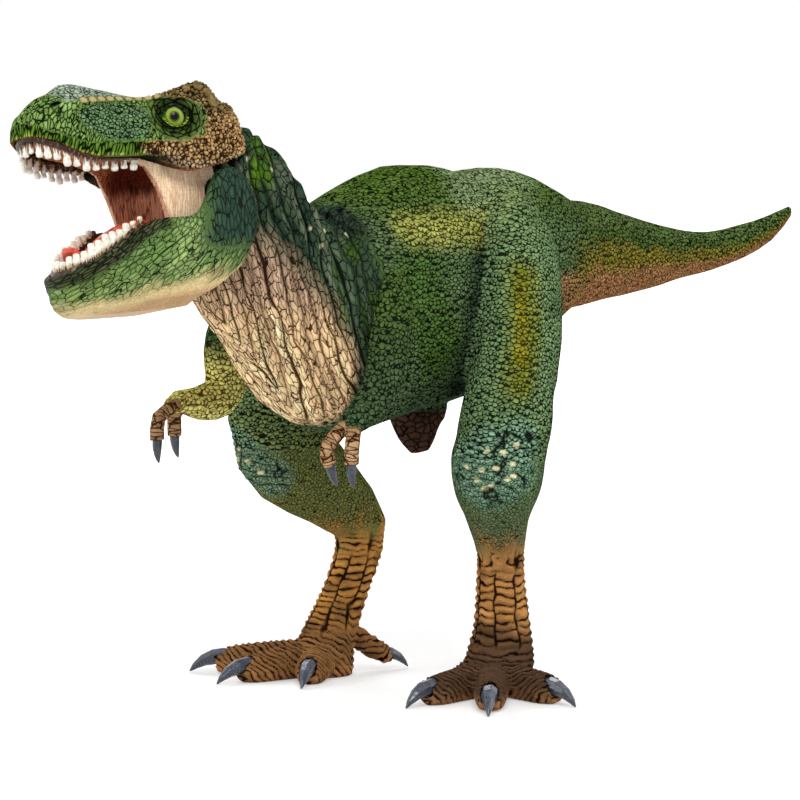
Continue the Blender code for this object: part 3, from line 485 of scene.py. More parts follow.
def painted_vinyl(name, roughness=0.42, grain=0.35, brush_and_highlight=0.30, bump=0.25, shine=0.05):
    """Soft vinyl sprayed with matt or satin paint: a dark wash in the grooves, widened below each scale
    into a painted shadow, a lighter brush on what stands out that is partly a painted highlight, and a
    fine mottle of grain mm in both colour and gloss. The finest scales are drawn here, from their
    places on the mesh, as cells one unit wide."""
    material, tree, output = new_material(name)
    place = add_node(tree, "TexCoord").outputs["Object"]
    mottle = add_node(tree, "TexNoise", {"Vector": place, "Scale": 1 / (grain * MM), "Detail": 3.0,
                                         "Roughness": 0.6}).outputs["Fac"]
    paint, wash = stored(tree, "paint", "Color"), stored(tree, "wash", "Color")
    moulded, raised, pebbled, gap, lap, loose = (
        stored(tree, layer) for layer in ("groove", "raised", "pebbled", "gap", "lap", "loose"))

    # each scale: its own throw of tone, its height above its edge, and the groove that runs round it,
    # widened below it into a painted shadow
    cell = stored(tree, "cell", "Vector")
    pattern = {"Vector": cell, "Scale": 1.0, "Randomness": loose}
    scale = add_node(tree, "TexVoronoi", pattern).outputs
    edge = add_node(tree, "TexVoronoi", pattern, feature="DISTANCE_TO_EDGE").outputs["Distance"]
    own = vectors(tree, "DOT_PRODUCT", scale["Color"], (1, 0, 0), socket="Value")
    offset = vectors(tree, "SUBTRACT", cell, scale["Position"])
    upward = vectors(tree, "DOT_PRODUCT", offset, (0, 0, 1), socket="Value")
    share = maths(tree, "DIVIDE", maths(tree, "MULTIPLY_ADD", upward, lap, edge), gap)
    scored = maths(tree, "MULTIPLY", remap(tree, share, end=(1.0, 0.0)), pebbled)
    groove = maths(tree, "MAXIMUM", moulded, scored)
    dome = remap(tree, edge, (0.0, 0.38), interpolation_type="SMOOTHSTEP")
    swell = maths(tree, "MULTIPLY", dome, pebbled)
    standing = maths(tree, "MULTIPLY_ADD", raised, maths(tree, "SUBTRACT", 1.0, pebbled), swell)

    uneven = remap(tree, mottle, MOTTLE_RANGE, (0.74, 1.22))
    throw = remap(tree, own, end=(-SCALE_TONE, SCALE_TONE))
    thrown = maths(tree, "MULTIPLY_ADD", throw, pebbled, uneven)
    toned = add_node(tree, "VectorMath", {0: paint, "Scale": thrown}, operation="SCALE").outputs[0]
    # what stands out is brushed lighter: partly dry-brushed paint, partly a painted highlight
    brushed_highlight = remap(tree, standing, (0.55, 1.0), (0.0, brush_and_highlight))
    pale = vectors(tree, "MULTIPLY_ADD", toned, BRUSH_HIGHLIGHT_LIFT, BRUSH_HIGHLIGHT_TINT)
    ragged = maths(tree, "MULTIPLY_ADD", mottle, 0.5, groove)
    in_groove = remap(tree, ragged, (0.36, 0.95), interpolation_type="SMOOTHSTEP")
    colour = mixed(tree, in_groove, mixed(tree, brushed_highlight, toned, pale), wash)
    gloss = remap(tree, mottle, MOTTLE_RANGE, (roughness - 0.07, roughness + 0.12))
    level = maths(tree, "MULTIPLY_ADD", groove, -1.2, mottle)
    level = maths(tree, "MULTIPLY_ADD", swell, SCALE_RELIEF, level)
    strength = maths(tree, "MULTIPLY_ADD", pebbled, 0.45, bump)
    form = add_node(tree, "Bump", {"Height": level, "Strength": strength, "Distance": SHADING_DEPTH * MM})
    principled(tree, output, {"Base Color": colour, "Roughness": gloss, "IOR": 1.5,
                              "Specular IOR Level": shine, "Normal": form.outputs[0]})
    return material


# Soft vinyl, sprayed and washed: the paint of the body dries matt, and its highlights are painted in by the
# lighter brush.
body_paint = painted_vinyl("painted_vinyl_hide", shine=0.0)

skin = fine_copy("body_skin", HIDE_NODES, HIDE_PITCH, HIDE_SMOOTHING)
choose(skin)
with open_mesh():
    bpy.ops.mesh.separate(type="LOOSE")
loose = sorted(bpy.context.selected_objects, key=lambda piece: len(piece.data.vertices))
skin = loose[-1]
for crumb in loose[:-1]:
    bpy.data.objects.remove(crumb)
away = np.stack([distance_to(skin, node, JOINT_SEARCH) for node in HIDE_NODES])
joint = fall(np.sort(away, axis=0)[1], *JOINT_REACH)
group = skin.vertex_groups.new(name="joint")
for index in np.flatnonzero(joint > 0.02):
    group.add([int(index)], float(joint[index]), "REPLACE")
apply_modifier(skin, "SMOOTH", factor=0.5, iterations=JOINT_SMOOTHING, vertex_group="joint")
skin.vertex_groups.clear()
push_out(skin, np.full(len(skin.data.vertices), -JOINT_FILL))

hide = Hide(skin, "#5b7349", "#161d15")
# P holds the places of the skin's points in mm, X and Z their way towards the tail and their height,
# and F the places with the right side folded over on the left; part says whose moulding a point is
P = hide.points
X, Z = P[:, 0], P[:, 2]
part = np.argmin(away, axis=0)
leg_side = ease(np.minimum(away[0], away[1]) - np.minimum(away[2], away[3]), -1.5, 1.5)
F = np.stack([X, np.abs(P[:, 1]), Z], 1)


# Trunk and neck: the front of the body hide. Long folds run down the throat and chest, with fine
# cracks between them; the back and flanks have round scales, and a bony knob hangs under the belly.
FOLD_PITCH = 2.7
FOLD_RELIEF = 0.72
# place along the body and height, in mm, of the line where the bare chest ends
CHEST_EDGE = ((-82, 114), (-74, 109.5), (-65, 102), (-59, 95), (-53, 88), (-49.5, 77), (-46, 66), (-44, 45))

across = 0.667 * F[:, 0] + 0.745 * F[:, 1] + 0.27 * (Z - 92) + 1.3 * cloud(P / 14, 11)
flow = np.stack([across, F[:, 1] * 0.4, Z], 1)
folded = fall(X + 2.5 * cloud(P / 5, 13) - 0.10 * (Z - 92), -48, -41) * (1 - leg_side)
scaled = 1 - folded
over_chest = Z - np.interp(X, *zip(*CHEST_EDGE))
chest = fall(over_chest + 3.4 * cloud(flow / (2.0, 4, 11), 14), -6.5, 1.5) * folded
# the boot is the bony knob under the belly
boot = around_spots(P, [(-10, 0, 66), (-9, 0, 52)], 11, 1) * (1 - leg_side)
boot *= fall(Z + 0.5 * cloud(P / 2, 15), 65.0, 67.0)
under_tail = ease(X, 16, 28) * fall(Z + 1.2 * cloud(P / 4, 15), 95, 99) * (1 - leg_side)
speckle = cloud(P / 1.3, 12)

hide.height += 0.35 * cloud(P / 13, 16) * scaled
hide.coats(
    (patches(P / 9, 17, -0.1, 0.6) * 0.45, "#3a4b26", "#0b110a"),
    (ease(Z, 106, 118) * scaled * 0.9, "#51692a", "#101a08"),
    (ease(Z, 113, 121) * patches(P / 4, 18, -0.3, 0.5) * scaled * 0.6, "#436216", "#0c1506"),
    (around_spots(F, [(-4, 6, 120), (1, 14, 118), (-7, 15, 114), (16, 4, 122)], 4, 9) * 0.85,
     "#86986c", "#24341c"),
    (fall(Z, 66, 92) * scaled * 0.6, "#52674a", "#0e130e"),
    (around_spots(F, [(-34, 22, 98), (-31, 22.5, 88), (-26, 21.5, 81)], 3, 8) * 0.6, "#3f6016", "#0e1606"),
    (around_spots(F, [(-10, 20, 105), (-14, 22, 92), (-13, 19, 81), (-9, 12, 71)], 1.5, 6) * 0.75,
     "#1e2b28", "#070c0b"))
yellow = around_spots(F, [(-33, 18, 109), (-23, 19.5, 108.7), (-13, 19.5, 108.6)], 0.5, 7)
yellow = np.maximum(yellow, around_spots(F, [(-7, 20, 111), (-1, 20.7, 116)], 0.5, 6))
hide.coats(
    (yellow * (0.85 + 0.3 * speckle), "#a6a650", "#343a16"),
    (around_spots(F, [(-30, 18, 107.5), (-24, 19.5, 107)], 0.5, 4) * 0.5, "#a9ac5c", "#3a3f16"),
    (folded * (1 - chest), "#3b4e39", "#0c140f"))
streak = cloud(flow / (1.1, 3, 9), 19)
hide.coats(
    (folded * (1 - chest) * ease(streak, -0.1, 0.5) * 0.65, "#676f5b", "#171e18"),
    (folded * (1 - chest) * ease(-streak, 0.1, 0.5) * 0.7, "#1f3026", "#080e0c"),
    (folded * (1 - chest) * around_spots(F, [(-50, 18, 100), (-54, 19, 92), (-40, 18, 104)], 3, 8)
     * patches(flow / (1.6, 3, 8), 20, -0.1, 0.4) * 0.8, "#46661f", "#0e1708"),
    (around_spots(F, [(-72, 10, 127), (-75, 12.5, 120)], 1.0, 3.5) * ease(streak, -0.4, 0.1),
     "#54791a", "#0e1408"),
    (around_spots(F, [(-44, 5, 112.5), (-47, 11, 109)], 2, 6) * 0.75 * (0.8 + speckle), "#141c1e", "#06090b"),
    (chest, "#ffd9a6", "#4a2c16"),
    (chest * ease(Z + 4 * cloud(P / 8, 20), 84, 101) * 0.85, "#a48775", "#241710"),
    (chest * ease(streak, 0.1, 0.5) * 0.5, "#ffe0b4", "#4a2c18"),
    (chest * ease(-streak, 0.3, 0.7) * 0.35, "#a5825f", "#2a180c"))
mingled = np.clip(4 * chest * (folded - chest), 0, 1)
hide.coats(
    (mingled * 0.6, "#5a5b4d", "#14170f"),
    (under_tail, "#9c7350", "#38261a"),
    (boot, "#4a352b", "#150c09"))
# the body's scales get a painted shadow below each one
hide.pebbles(np.ones(len(P)), 1.06, (1.12, 1.12, 0.9), gap=0.17, lap=0.3)
hide.pebbles(folded, 1.15, (0.85, 1.2, 2.3), gap=0.11, places=flow * (1, 2.5, 1) + 0.4 * speckle[:, None],
             strength=0.8)
hide.pebbles(boot, 2.0, (1.2, 1.2, 0.8), gap=0.10)
for spot, size in (((-77, 10.5, 124.4), 0.7), ((-70.8, 12, 122.2), 0.8), ((-63.3, 16.1, 109.2), 0.4),
                   ((-60.6, 16.9, 105.4), 0.5), ((-57.9, 15.3, 108.8), 0.9), ((-49.3, 13.7, 107.5), 0.9),
                   ((-56.5, 16.5, 102), 0.5), ((-52, 14.5, 110.3), 0.4)):
    dab = around_spots(F + 0.4 * speckle[:, None], [spot], size * 0.45, 0.5)
    hide.coat(dab, "#cfc79a", "#6f6a45")
    hide.pebbled *= 1 - dab

crease = across / FOLD_PITCH + 0.75 * cloud(flow / (5, 8, 10), 22) + 0.16 * cloud(flow / (3, 4, 4), 21)
hide.folds(folded, crease, FOLD_RELIEF, 0.19, 23, tone=0.2)
finer = crease * 2.3 + 0.8 * cloud(flow / (3, 4, 8), 25)
hide.folds(folded * patches(flow / (3, 3, 7), 24, -0.1, 0.3), finer, 0.22, 0.16, 26)


# Tail: the rear of the body hide, moulded apart and pushed on a peg. Its scales are green above, a
# yellow line runs along the side, and the underside is bare and brown.
TAIL_LINE = ((30, 0, 101), (42, 0, 101), (56, 0, 100.8), (72, 0, 100.1), (88, 0, 99.8), (103, 0, 100.4),
             (117, 0, 102.6), (129, 0, 105.8), (138, 0, 110.1))

turn = follow(P, TAIL_LINE)[1]
rise = np.sin(turn) + 0.22 * cloud(P / (6, 2, 2), 41)
behind = ease(X + 1.5 * cloud(P / 4, 40), 26, 44) * (1 - leg_side)
hide.coats(
    (behind, "#4f6330", "#10180c"),
    (behind * patches(P / 8, 42, 0.0, 0.6) * 0.6, "#415929", "#0e150a"),
    (behind * ease(rise, 0.35, 0.9) * 0.4, "#66794a", "#1d2b16"),
    (behind * fall(rise, -0.02, 0.4) * 0.85, "#82742c", "#2c2a12"),
    (behind * fall(rise, -0.55, -0.15), "#ad7d53", "#3a2412"))
lower = behind * fall(rise, -0.5, -0.3)
hide.pebbles(lower, 0.95, (0.8, 1.6, 1.0), gap=0.14)


# Legs: the two limbs of the body hide, glued on pegs in the hips. Scales run down to the calf; below
# it the shin and toes carry cross bands like a bird's, painted brown and washed nearly black.
BAND_PITCH = 2.0
BAND_RELIEF = 0.52
SHIN_TOP = 34.0
# the pale knee spots are this much lower than they are wide
FLAT_SPOT = (1, 1, 1.5)
# side, middle line from hip to sole, places of the pale knee spots, brown of the shin and of the toes
LEGS = (
    ("left", ((7, -10, 114), (6, -16, 104), (2, -20, 90), (-5, -24.6, 75), (-12, -26.4, 62), (-12, -25.2, 52),
              (-6.4, -21.6, 42.8), (-1.2, -18, 33), (0.8, -16.5, 24), (1.6, -16.2, 14), (-1.5, -16.6, -2)),
     ((-22.3, -31.8, 58.8), (-20, -34.6, 58.8), (-17.2, -36, 60.2), (-23, -26.2, 55.1), (-22.6, -30.5, 54.6),
      (-21.1, -33.4, 55), (-17.9, -35.6, 55.9), (-22.6, -28.8, 52.2), (-18.4, -34.6, 52.4),
      (-17.1, -35.1, 53.2), (-21.4, -30.3, 50.3), (-20.6, -31.6, 50.8)), "#b8834c", "#7a5c48"),
    ("right", ((6, 10, 112), (3, 17, 101), (-5, 23, 87), (-16, 29, 73), (-23, 33, 62), (-17, 33, 52),
               (-5, 31.5, 43.7), (3, 30.3, 35), (1.2, 31, 25), (-3.6, 31.8, 14.3), (-7.2, 32.4, -2)),
     ((-31.2, 37.9, 53.6), (-32, 33.8, 53.2), (-30.4, 31.2, 50.6), (-33, 36, 56), (-29, 29.5, 48.5),
      (-29, 41, 56), (-27, 42, 51)), "#c98f4b", "#a5754a"),
)

for number, (side, line, knee_spots, shin_brown, toe_brown) in enumerate(LEGS, 2):
    # near_leg is the leg's own moulding, and on_leg fades out where the leg grows from the hip
    near_leg = (part == number) * 1.0
    on_leg = leg_side * (away[number] <= away[5 - number])
    turn = follow(P, line)[1]
    ankle = np.array(line[-3][:2])
    spread = np.linalg.norm(P[:, :2] - ankle, axis=1)
    shin = near_leg * fall(Z + 1.6 * cloud(P / 3, 51), SHIN_TOP - 3, SHIN_TOP + 3)
    foot = fall(Z, 9, 13)
    knee = near_leg * around_spots(P, knee_spots, 3.5, 4.5)
    if side == "left":
        hide.height += near_leg * 2.3 * around_spots(P, [(-5, -31, 59), (-5, -31, 54)], 1.5, 13)
        hide.height += near_leg * 0.9 * around_spots(P, [(-19, -19, 52)], 3, 7)

    hide.pebbles(near_leg * fall(Z + 2 * cloud(P / 3, 62), 54, 58), 0.85, gap=0.15, strength=0.75)
    hide.pebbled *= 1 - np.clip(shin * 1.5, 0, 1)
    hide.coats(
        (on_leg * ease(Z, 40, 60) * 0.75, "#7c9a68", "#182216"),
        (on_leg * patches(P / 10, 52, 0.0, 0.6) * 0.35, "#3f5429", "#0c120c"),
        (on_leg * ease(Z, 100, 114) * 0.5, "#6f8050", "#1d2b16"),
        (on_leg * ease(np.sin(turn), 0.2, 0.8) * fall(Z, 98, 108) * 0.85, "#2a3628", "#0a0f0c"))
    strip = around_spots(F, [(-9.5, 32, 98), (-11, 33.6, 89.4), (-12.5, 34.8, 82.6), (-15.5, 35.5, 73.6)],
                         0.8, 6.5)
    hide.coat(on_leg * strip * (0.85 + 0.3 * speckle), "#737519", "#252a0b")
    strip = around_spots(F, [(-12, 33, 96), (-13, 34.8, 88), (-14.5, 35.5, 80)], 0.5, 3)
    hide.coat(on_leg * strip * 0.6, "#9a8c1e", "#3a3a10")
    hide.coat(near_leg * fall(Z, 40, 52) * 0.75, "#74815a", "#20281a")
    if side == "right":
        hide.coat(near_leg * fall(Z + 4 * cloud(P / 6, 50), 50, 74) * 0.7, "#7f8040", "#181a0c")
    hide.coat(knee * 0.65, "#7fa68d", "#101a14")
    for spot in knee_spots:
        dab = near_leg * around_spots(P * FLAT_SPOT + 0.4 * speckle[:, None], [np.array(spot) * FLAT_SPOT],
                                      0.6, 0.5)
        hide.coat(dab, "#e0d8ae", "#7d7448")
        hide.pebbled *= 1 - dab
    tanned = near_leg * fall(Z + 5 * cloud(P / (2.5, 2.5, 6), 54), SHIN_TOP - 5, SHIN_TOP + 7)
    hide.coats(
        (tanned, shin_brown, "#26150b"),
        (shin * foot * 0.8, toe_brown, "#150c07"),
        (shin * fall(Z, 0.6, 3.2) * 0.6, "#a5714e", "#3a2418"),
        (shin * patches(P / 4, 55, 0.1, 0.6) * 0.4, "#b98a52", "#2c1c12"),
        (shin * ease(-cloud(P / 4, 61), 0.0, 0.5) * 0.6, "#6e4d32", "#150b05"))
    dipped = ease(Z, 1.5, 4.5) * fall(Z + 5 * cloud(P / 5, 63), 12, 20)
    hide.coat(shin * dipped * (0.85 if side == "left" else 0.4), "#473529", "#120a06")
    worn = 0.88 + 0.4 * cloud(P / 2.2, 65)

    wrinkle = (Z + 0.25 * np.abs(turn + 1.57) ** 2 * 6 + 1.2 * cloud(P / 3, 56)) / 1.7
    hide.bands(knee * (1 - shin) * 0.8, wrinkle, turn * 1.1 + 0.4 * cloud(P / 2.5, 58), 0.4, gap=0.2)
    rows = (SHIN_TOP - Z + np.maximum(spread - 7.5, 0) + 0.9 * cloud(P / 2.5, 59)) / BAND_PITCH
    columns = (turn + math.pi / 2) / 0.85 + 0.5 + 0.3 * cloud(P / (3, 3, 6), 60)
    fine_rows = ease(Z, 27, 31)
    hide.bands(shin * (1 - foot) * (1 - fine_rows), rows, columns, BAND_RELIEF, gap=0.26, depth=worn)
    hide.bands(shin * fine_rows, rows * 1.6, columns * 0.5, 0.4, gap=0.26, depth=worn)
    hide.bands(shin * foot, rows * 1.15 + 0.35 * cloud(P / 1.6, 64), columns * 0 + 0.5, BAND_RELIEF * 0.8,
               gap=0.27, depth=worn)

hide.height *= ease(Z, 0.3, 1.2)
hide.finish(body_paint)

# parted where the mouldings meet, and across behind the arms, so that no piece has too many faces
TRUNK_CUT_X = -24.0
faces = skin.data.polygons
corners = np.empty(len(faces) * 4, np.int32)
skin.data.loops.foreach_get("vertex_index", corners)
corners = corners.reshape(-1, 4)
owner = part[corners].max(axis=1)
owner[(owner == 0) & (P[corners, 0].mean(axis=1) < TRUNK_CUT_X)] = 4
for number, name, node in ((1, "tail_skin", "tail"), (2, "left_leg_skin", "left_leg"),
                           (3, "right_leg_skin", "right_leg"), (4, "neck_skin", "torso"),
                           (0, "trunk_skin", "torso")):
    piece = skin
    if number:
        choose(skin)
        with open_mesh():
            bpy.ops.mesh.select_mode(type="FACE")
            bpy.ops.mesh.select_all(action="DESELECT")
        skin.data.polygons.foreach_set("select", owner == number)
        with open_mesh():
            bpy.ops.mesh.separate(type="SELECTED")
        piece = next(piece for piece in bpy.context.selected_objects if piece is not skin)
        owner = owner[owner != number]
    piece.name = name
    choose(piece)
    with open_mesh():
        bpy.ops.mesh.select_all(action="SELECT")
        bpy.ops.mesh.fill_holes(sides=0)
    bpy.ops.object.shade_smooth_by_angle(angle=math.radians(75))
    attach(piece, "figure")
    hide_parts(node)


# Claws: small hard vinyl horns glued into the ends of the toes and fingers, dipped in slate paint and
# varnished, so they are the glossiest points of the limbs.
CLAW_PITCH = 0.16
CLAW_NAMES = (
    "left_foot_inner_claw", "left_foot_middle_claw", "left_foot_outer_claw", "left_foot_rear_claw",
    "right_foot_inner_claw", "right_foot_middle_claw", "right_foot_outer_claw", "right_foot_rear_claw",
    "left_hand_inner_claw", "left_hand_outer_claw", "right_hand_inner_claw", "right_hand_outer_claw")

# Hard vinyl dipped in slate paint under a clear varnish, with a painted highlight along its upper side.
horn_varnish = painted_vinyl("varnished_slate_horn", roughness=0.22, grain=0.5, brush_and_highlight=0.12, bump=0.05,
                             shine=0.5)
for name in CLAW_NAMES:
    claw = fine_copy(name + "_horn", [name], CLAW_PITCH, smoothing=3)
    hide = Hide(claw, "#3c414c", "#1c1f26")
    upward = hide.normals[:, 2]
    # the upper side of each claw is painted lighter and brushed lighter still: a painted highlight
    hide.coat(ease(upward, 0.2, 0.9) * 0.45, "#6b7080", "#2c303a")
    hide.raised = ease(upward, 0.5, 1.0) * 0.9
    hide.scales(np.ones(len(upward)), 0.7, (3.5, 3.5, 1.2), 61, 0.03, 0.25, tone=0.10, depth=0.45)
    hide.finish(horn_varnish)
    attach(claw, "figure")
    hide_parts(name)


# Arms: two short vinyl mouldings glued on pegs in the chest, scaled and green to the wrist, with two
# wrinkled fingers each in pale brown.
ARM_PITCH = 0.28
# side, middle line in mm, the inner and the outer finger's line, colour of the forearm
ARMS = (
    ("left", ((-38.5, -17.6, 98), (-42.5, -21.4, 93.5), (-44.5, -23, 88.5), (-46.3, -23.8, 82.5),
              (-47.9, -24, 76.5), (-50.6, -23.6, 72), (-54.5, -23.2, 68.8), (-57.5, -23.2, 67),
              (-59, -23.2, 65)),
     (((-58, -22.2, 66.8), (-64.2, -21.8, 62), (-63.2, -21.8, 58)),
      ((-58.2, -24.4, 66.5), (-60.8, -26, 62), (-61.2, -26.2, 58))), "#465b3c"),
    ("right", ((-47, 17.6, 92), (-48.5, 22, 86.5), (-47.5, 25.2, 80), (-45.5, 27.2, 73.5), (-47.5, 28, 69.5),
               (-53, 28, 68.5), (-57.5, 28, 69), (-60.5, 28, 69.3), (-62.5, 28, 68)),
     (((-61.5, 26.6, 69), (-69, 25.5, 66.3), (-70, 25, 61)),
      ((-60, 29.4, 68.5), (-59.2, 30.6, 65), (-58.7, 31, 61))), "#f0e482"),
)

for side, line, fingers, forearm in ARMS:
    arm = fine_copy(side + "_arm_skin", [side + "_arm"], ARM_PITCH, smoothing=6)
    hide = Hide(arm, "#465b34", "#121a12")
    P = hide.points
    reach = [follow(P, finger) for finger in fingers]
    closer = reach[0][2] < reach[1][2]
    masks = [ease(walked + 0.5 * cloud(P / 1.5, 71), 0.8, 2.2) * (girth < 3.2) * pick
             for (walked, turn, girth), pick in zip(reach, (closer, ~closer))]
    hand = masks[0] + masks[1]
    hide.coats(
        (patches(P / 5, 72, 0.0, 0.6) * 0.5, "#36472c", "#0f150f"),
        (ease(P[:, 2], 84, 92) * 0.5, "#55702c", "#161f10"),
        (fall(P[:, 2], 74, 84) * 0.85, forearm, "#141b13" if side == "left" else "#57522a"),
        (hand, "#a98560", "#38210f"),
        (hand * patches(P / 2.0, 73, 0.0, 0.5) * 0.6, "#c9a57a", "#4a2e1c"))
    # the arm's scales get a painted shadow below each one
    hide.pebbles(1 - hand, 1.15, gap=0.16, lap=0.25)
    for mask, (walked, turn, girth) in zip(masks, reach):
        hide.pebbles(mask, 0.95, (1, 2.4, 1), gap=0.13,
                     places=np.stack([walked + 0.3 * cloud(P / 1.2, 75), turn * 1.2, turn * 0], 1))
    hide.finish(body_paint)
    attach(arm, "figure")
    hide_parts(side + "_arm")


# Head: the skull and upper lips, one vinyl moulding glued to the neck. The mould is cut deepest here:
# knobs over the brow and cheek, a row of beads along the snout, a pebbled panel and ribbed lips.
HEAD_PITCH = 0.25
# the row of beads: its step, and the stations where its half width and height are given
BEAD_STEP = 2.2
BEAD_STATIONS, BEAD_SIDES, BEAD_TOPS = (13, 22, 32), (9.6, 7.9, 7.1), (20.7, 20.7, 20.1)
HEAD_PLACE = np.array((-83.5, 1.5, 115.5))
HEAD_YAW, HEAD_ROLL = math.radians(7.0), math.radians(9.0)
# forward, then height, in mm in the head's own axes: the edge of the upper lip, the pebbled panel of
# the snout, and the knobs over brow and cheek
LIP_EDGE = ((-8, 4.5), (0, 4.8), (8, 4.6), (14, 6.2), (19.4, 7.3), (24, 7.1), (29.8, 7.1), (34, 8.1),
            (37.8, 9.9), (41.5, 12.0), (43, 12.8))
PANEL_OUTLINE = ((32.4, 18.2), (28.2, 19.4), (20.2, 19.6), (16.9, 18.4), (16.3, 15.0), (18.2, 11.8),
                 (22.4, 10.9), (27, 11.4), (30.8, 13.6), (32.8, 16.0))
KNOB_OUTLINE = ((15.5, 21.2), (9.5, 20.4), (6.0, 19.6), (4.2, 18.0), (4.0, 15.0), (5.6, 12.0), (9.5, 10.6),
                (14, 10.4), (17.7, 11.2), (20.6, 10.0), (18.6, 7.6), (14, 5.6), (9, 3.6), (-2, 3.0),
                (-14, 3.0), (-14, 30), (15.5, 30))
EYE_PLACE = (10.6, -11.66, 15.75)
EYE_RADIUS = 2.7

yaw_turn = np.array([[math.cos(HEAD_YAW), math.sin(HEAD_YAW), 0],
                     [-math.sin(HEAD_YAW), math.cos(HEAD_YAW), 0], [0, 0, 1]])
roll_turn = np.array([[1, 0, 0], [0, math.cos(HEAD_ROLL), math.sin(HEAD_ROLL)],
                      [0, -math.sin(HEAD_ROLL), math.cos(HEAD_ROLL)]])
HEAD_AXES = (yaw_turn @ roll_turn) * np.array([-1, 1, 1])


def in_head(places):
    """Places in the head's own axes: forward from the hinge, side (left is less than 0) and height."""
    return (places - HEAD_PLACE) @ HEAD_AXES


def from_head(spot):
    """The place in mm of a spot given in the head's own axes."""
    return HEAD_PLACE + HEAD_AXES @ np.array(spot, float)


def inside(outline, across, up, soft):
    """1 inside an outline seen from the side and 0 outside, soft over that many mm."""
    near, within = np.full(len(across), 1e9), np.zeros(len(across), bool)
    for (ax, ay), (bx, by) in zip(outline, outline[1:] + outline[:1]):
        step = np.array([bx - ax, by - ay])
        t = np.clip(((across - ax) * step[0] + (up - ay) * step[1]) / (step @ step), 0, 1)
        near = np.minimum(near, np.hypot(across - ax - t * step[0], up - ay - t * step[1]))
        crossed = (ay > up) != (by > up)
        within ^= crossed & (across < ax + (up - ay) * step[0] / (step[1] or 1e-9))
    return ease(np.where(within, near, -near), -soft, soft)


head = fine_copy("head_skin", ["head"], HEAD_PITCH, smoothing=5)
hide = Hide(head, "#7a9a52", "#131d0c")
# here and below Q holds the places in the head's own axes, M the directions outwards in them, and S
# the places with both sides folded together
P = hide.points
Q, M = in_head(P), hide.normals @ HEAD_AXES
forward, width, height = Q[:, 0], np.abs(Q[:, 1]), Q[:, 2]
over_lip = height - np.interp(forward, *zip(*LIP_EDGE))
wobble = cloud(P / 2.2, 81)
panel = inside(PANEL_OUTLINE, forward + 0.3 * wobble, height, 0.5) * ease(width, 5.5, 7.5)
panel_rim = inside(PANEL_OUTLINE, forward, height, 2.4) * ease(width, 5.5, 7.5) * (1 - panel)
knobs = inside(KNOB_OUTLINE, forward + 0.5 * wobble, height + 0.5 * wobble, 0.6)
lips = fall(over_lip + 0.8 * wobble, 2.8, 4.4) * ease(forward, 14, 18)
lip_rim = fall(over_lip + 0.3 * wobble, 1.0, 1.7) * ease(forward, 14, 18)
black_line = fall(over_lip, 0.4, 1.1) * ease(forward, 10, 18)
top = ease(M[:, 2], 0.35, 0.75) * fall(width, 6.0, 7.6) * ease(forward, 6, 12) * (1 - knobs)
top *= fall(forward + wobble, 32, 36)
S = np.stack([forward, width, height], 1)
eye = np.array(EYE_PLACE) * (1, -1, 1)
from_eye = np.linalg.norm(S - eye, axis=1)
round_eye = np.arctan2(height - eye[2], eye[0] - forward)
socket = fall(from_eye, 4.8, 7.4) * (1 - knobs)
muzzle = (1 - panel) * (1 - knobs) * (1 - lips) * (1 - top) * (1 - socket)
under = ease(-M[:, 2], 0.3, 0.7) * ease(forward, -2, 2)

hide.coats(
    (patches(P / 3, 82, -0.1, 0.5) * 0.5, "#42602a", "#0a1206"),
    (ease(forward, 34, 42) * 0.4, "#86a458", "#12200a"),
    (panel, "#66845a", "#111e0e"),
    (panel * patches(P / 4, 89, 0.0, 0.5) * 0.4, "#87a274", "#16260f"),
    (panel_rim * 0.7, "#6d8c36", "#12200a"),
    (top, "#98a692", "#334233"),
    (lips, "#567828", "#0b1405"),
    (lip_rim, "#98a94c", "#34431a"),
    (socket * 0.9, "#31431c", "#080c05"),
    (socket * patches(P / 1.4, 90, 0.0, 0.5) * 0.4, "#6f8436", "#10180a"),
    (fall(from_eye, 3.6, 5.2) * 0.8, "#141c0e", "#060805"),
    (knobs, "#ac885a", "#2a1a0c"),
    (knobs * patches(P / 1.6, 83, 0.05, 0.5) * 0.75, "#b99d70", "#3a2818"),
    (knobs * ease(height, 15, 18.5) * fall(forward, 15, 17) * 0.7, "#5d5431", "#130f06"),
    (knobs * fall(over_lip, 0.8, 2.2) * 0.8, "#98836a", "#241a12"),
    (under * 0.9, "#8f5334", "#3a1c12"),
    (black_line, "#171a12", "#090a07"))

# the scales of the panel and of the snout's top get a painted shadow below each one
hide.pebbles(panel, 0.82, gap=0.2, lap=0.2)
hide.pebbles(top, 1.0, (1.1, 1.1, 1), gap=0.16, lap=0.2)
hide.pebbles(muzzle, 1.05, (0.75, 0.75, 2.1), gap=0.15,
             places=np.stack([forward + 0.5 * height + 0.6 * wobble, Q[:, 1], height - 0.5 * forward], 1))
hide.pebbles(lips * (1 - black_line), 0.75, (1, 1, 4.5), gap=0.2,
             places=np.stack([forward + 0.35 * over_lip + 0.3 * wobble, Q[:, 1], over_lip], 1))
hide.pebbles(socket, 0.85, (1, 2.4, 1), gap=0.16,
             places=np.stack([from_eye + 0.3 * wobble, round_eye * 3.6, from_eye * 0], 1))
hide.scales(knobs, 0.9, (1, 1, 1), 86, 0.42, 0.30, tone=0.34, loose=0.9)
bead_spots = [(s, *(float(np.interp(s, BEAD_STATIONS, row)) for row in (BEAD_SIDES, BEAD_TOPS)))
              for s in np.arange(12.6, 30.5, BEAD_STEP)]
for s, y, z in bead_spots:
    bead = around_spots(S, [(s - 0.4, y, z), (s + 0.4, y, z)], 0.45, 0.5)
    hide.coat(bead, "#a8996b", "#3c3018")
    hide.pebbled *= 1 - bead
hide.bumps(S, bead_spots, 0.95, 0.24)
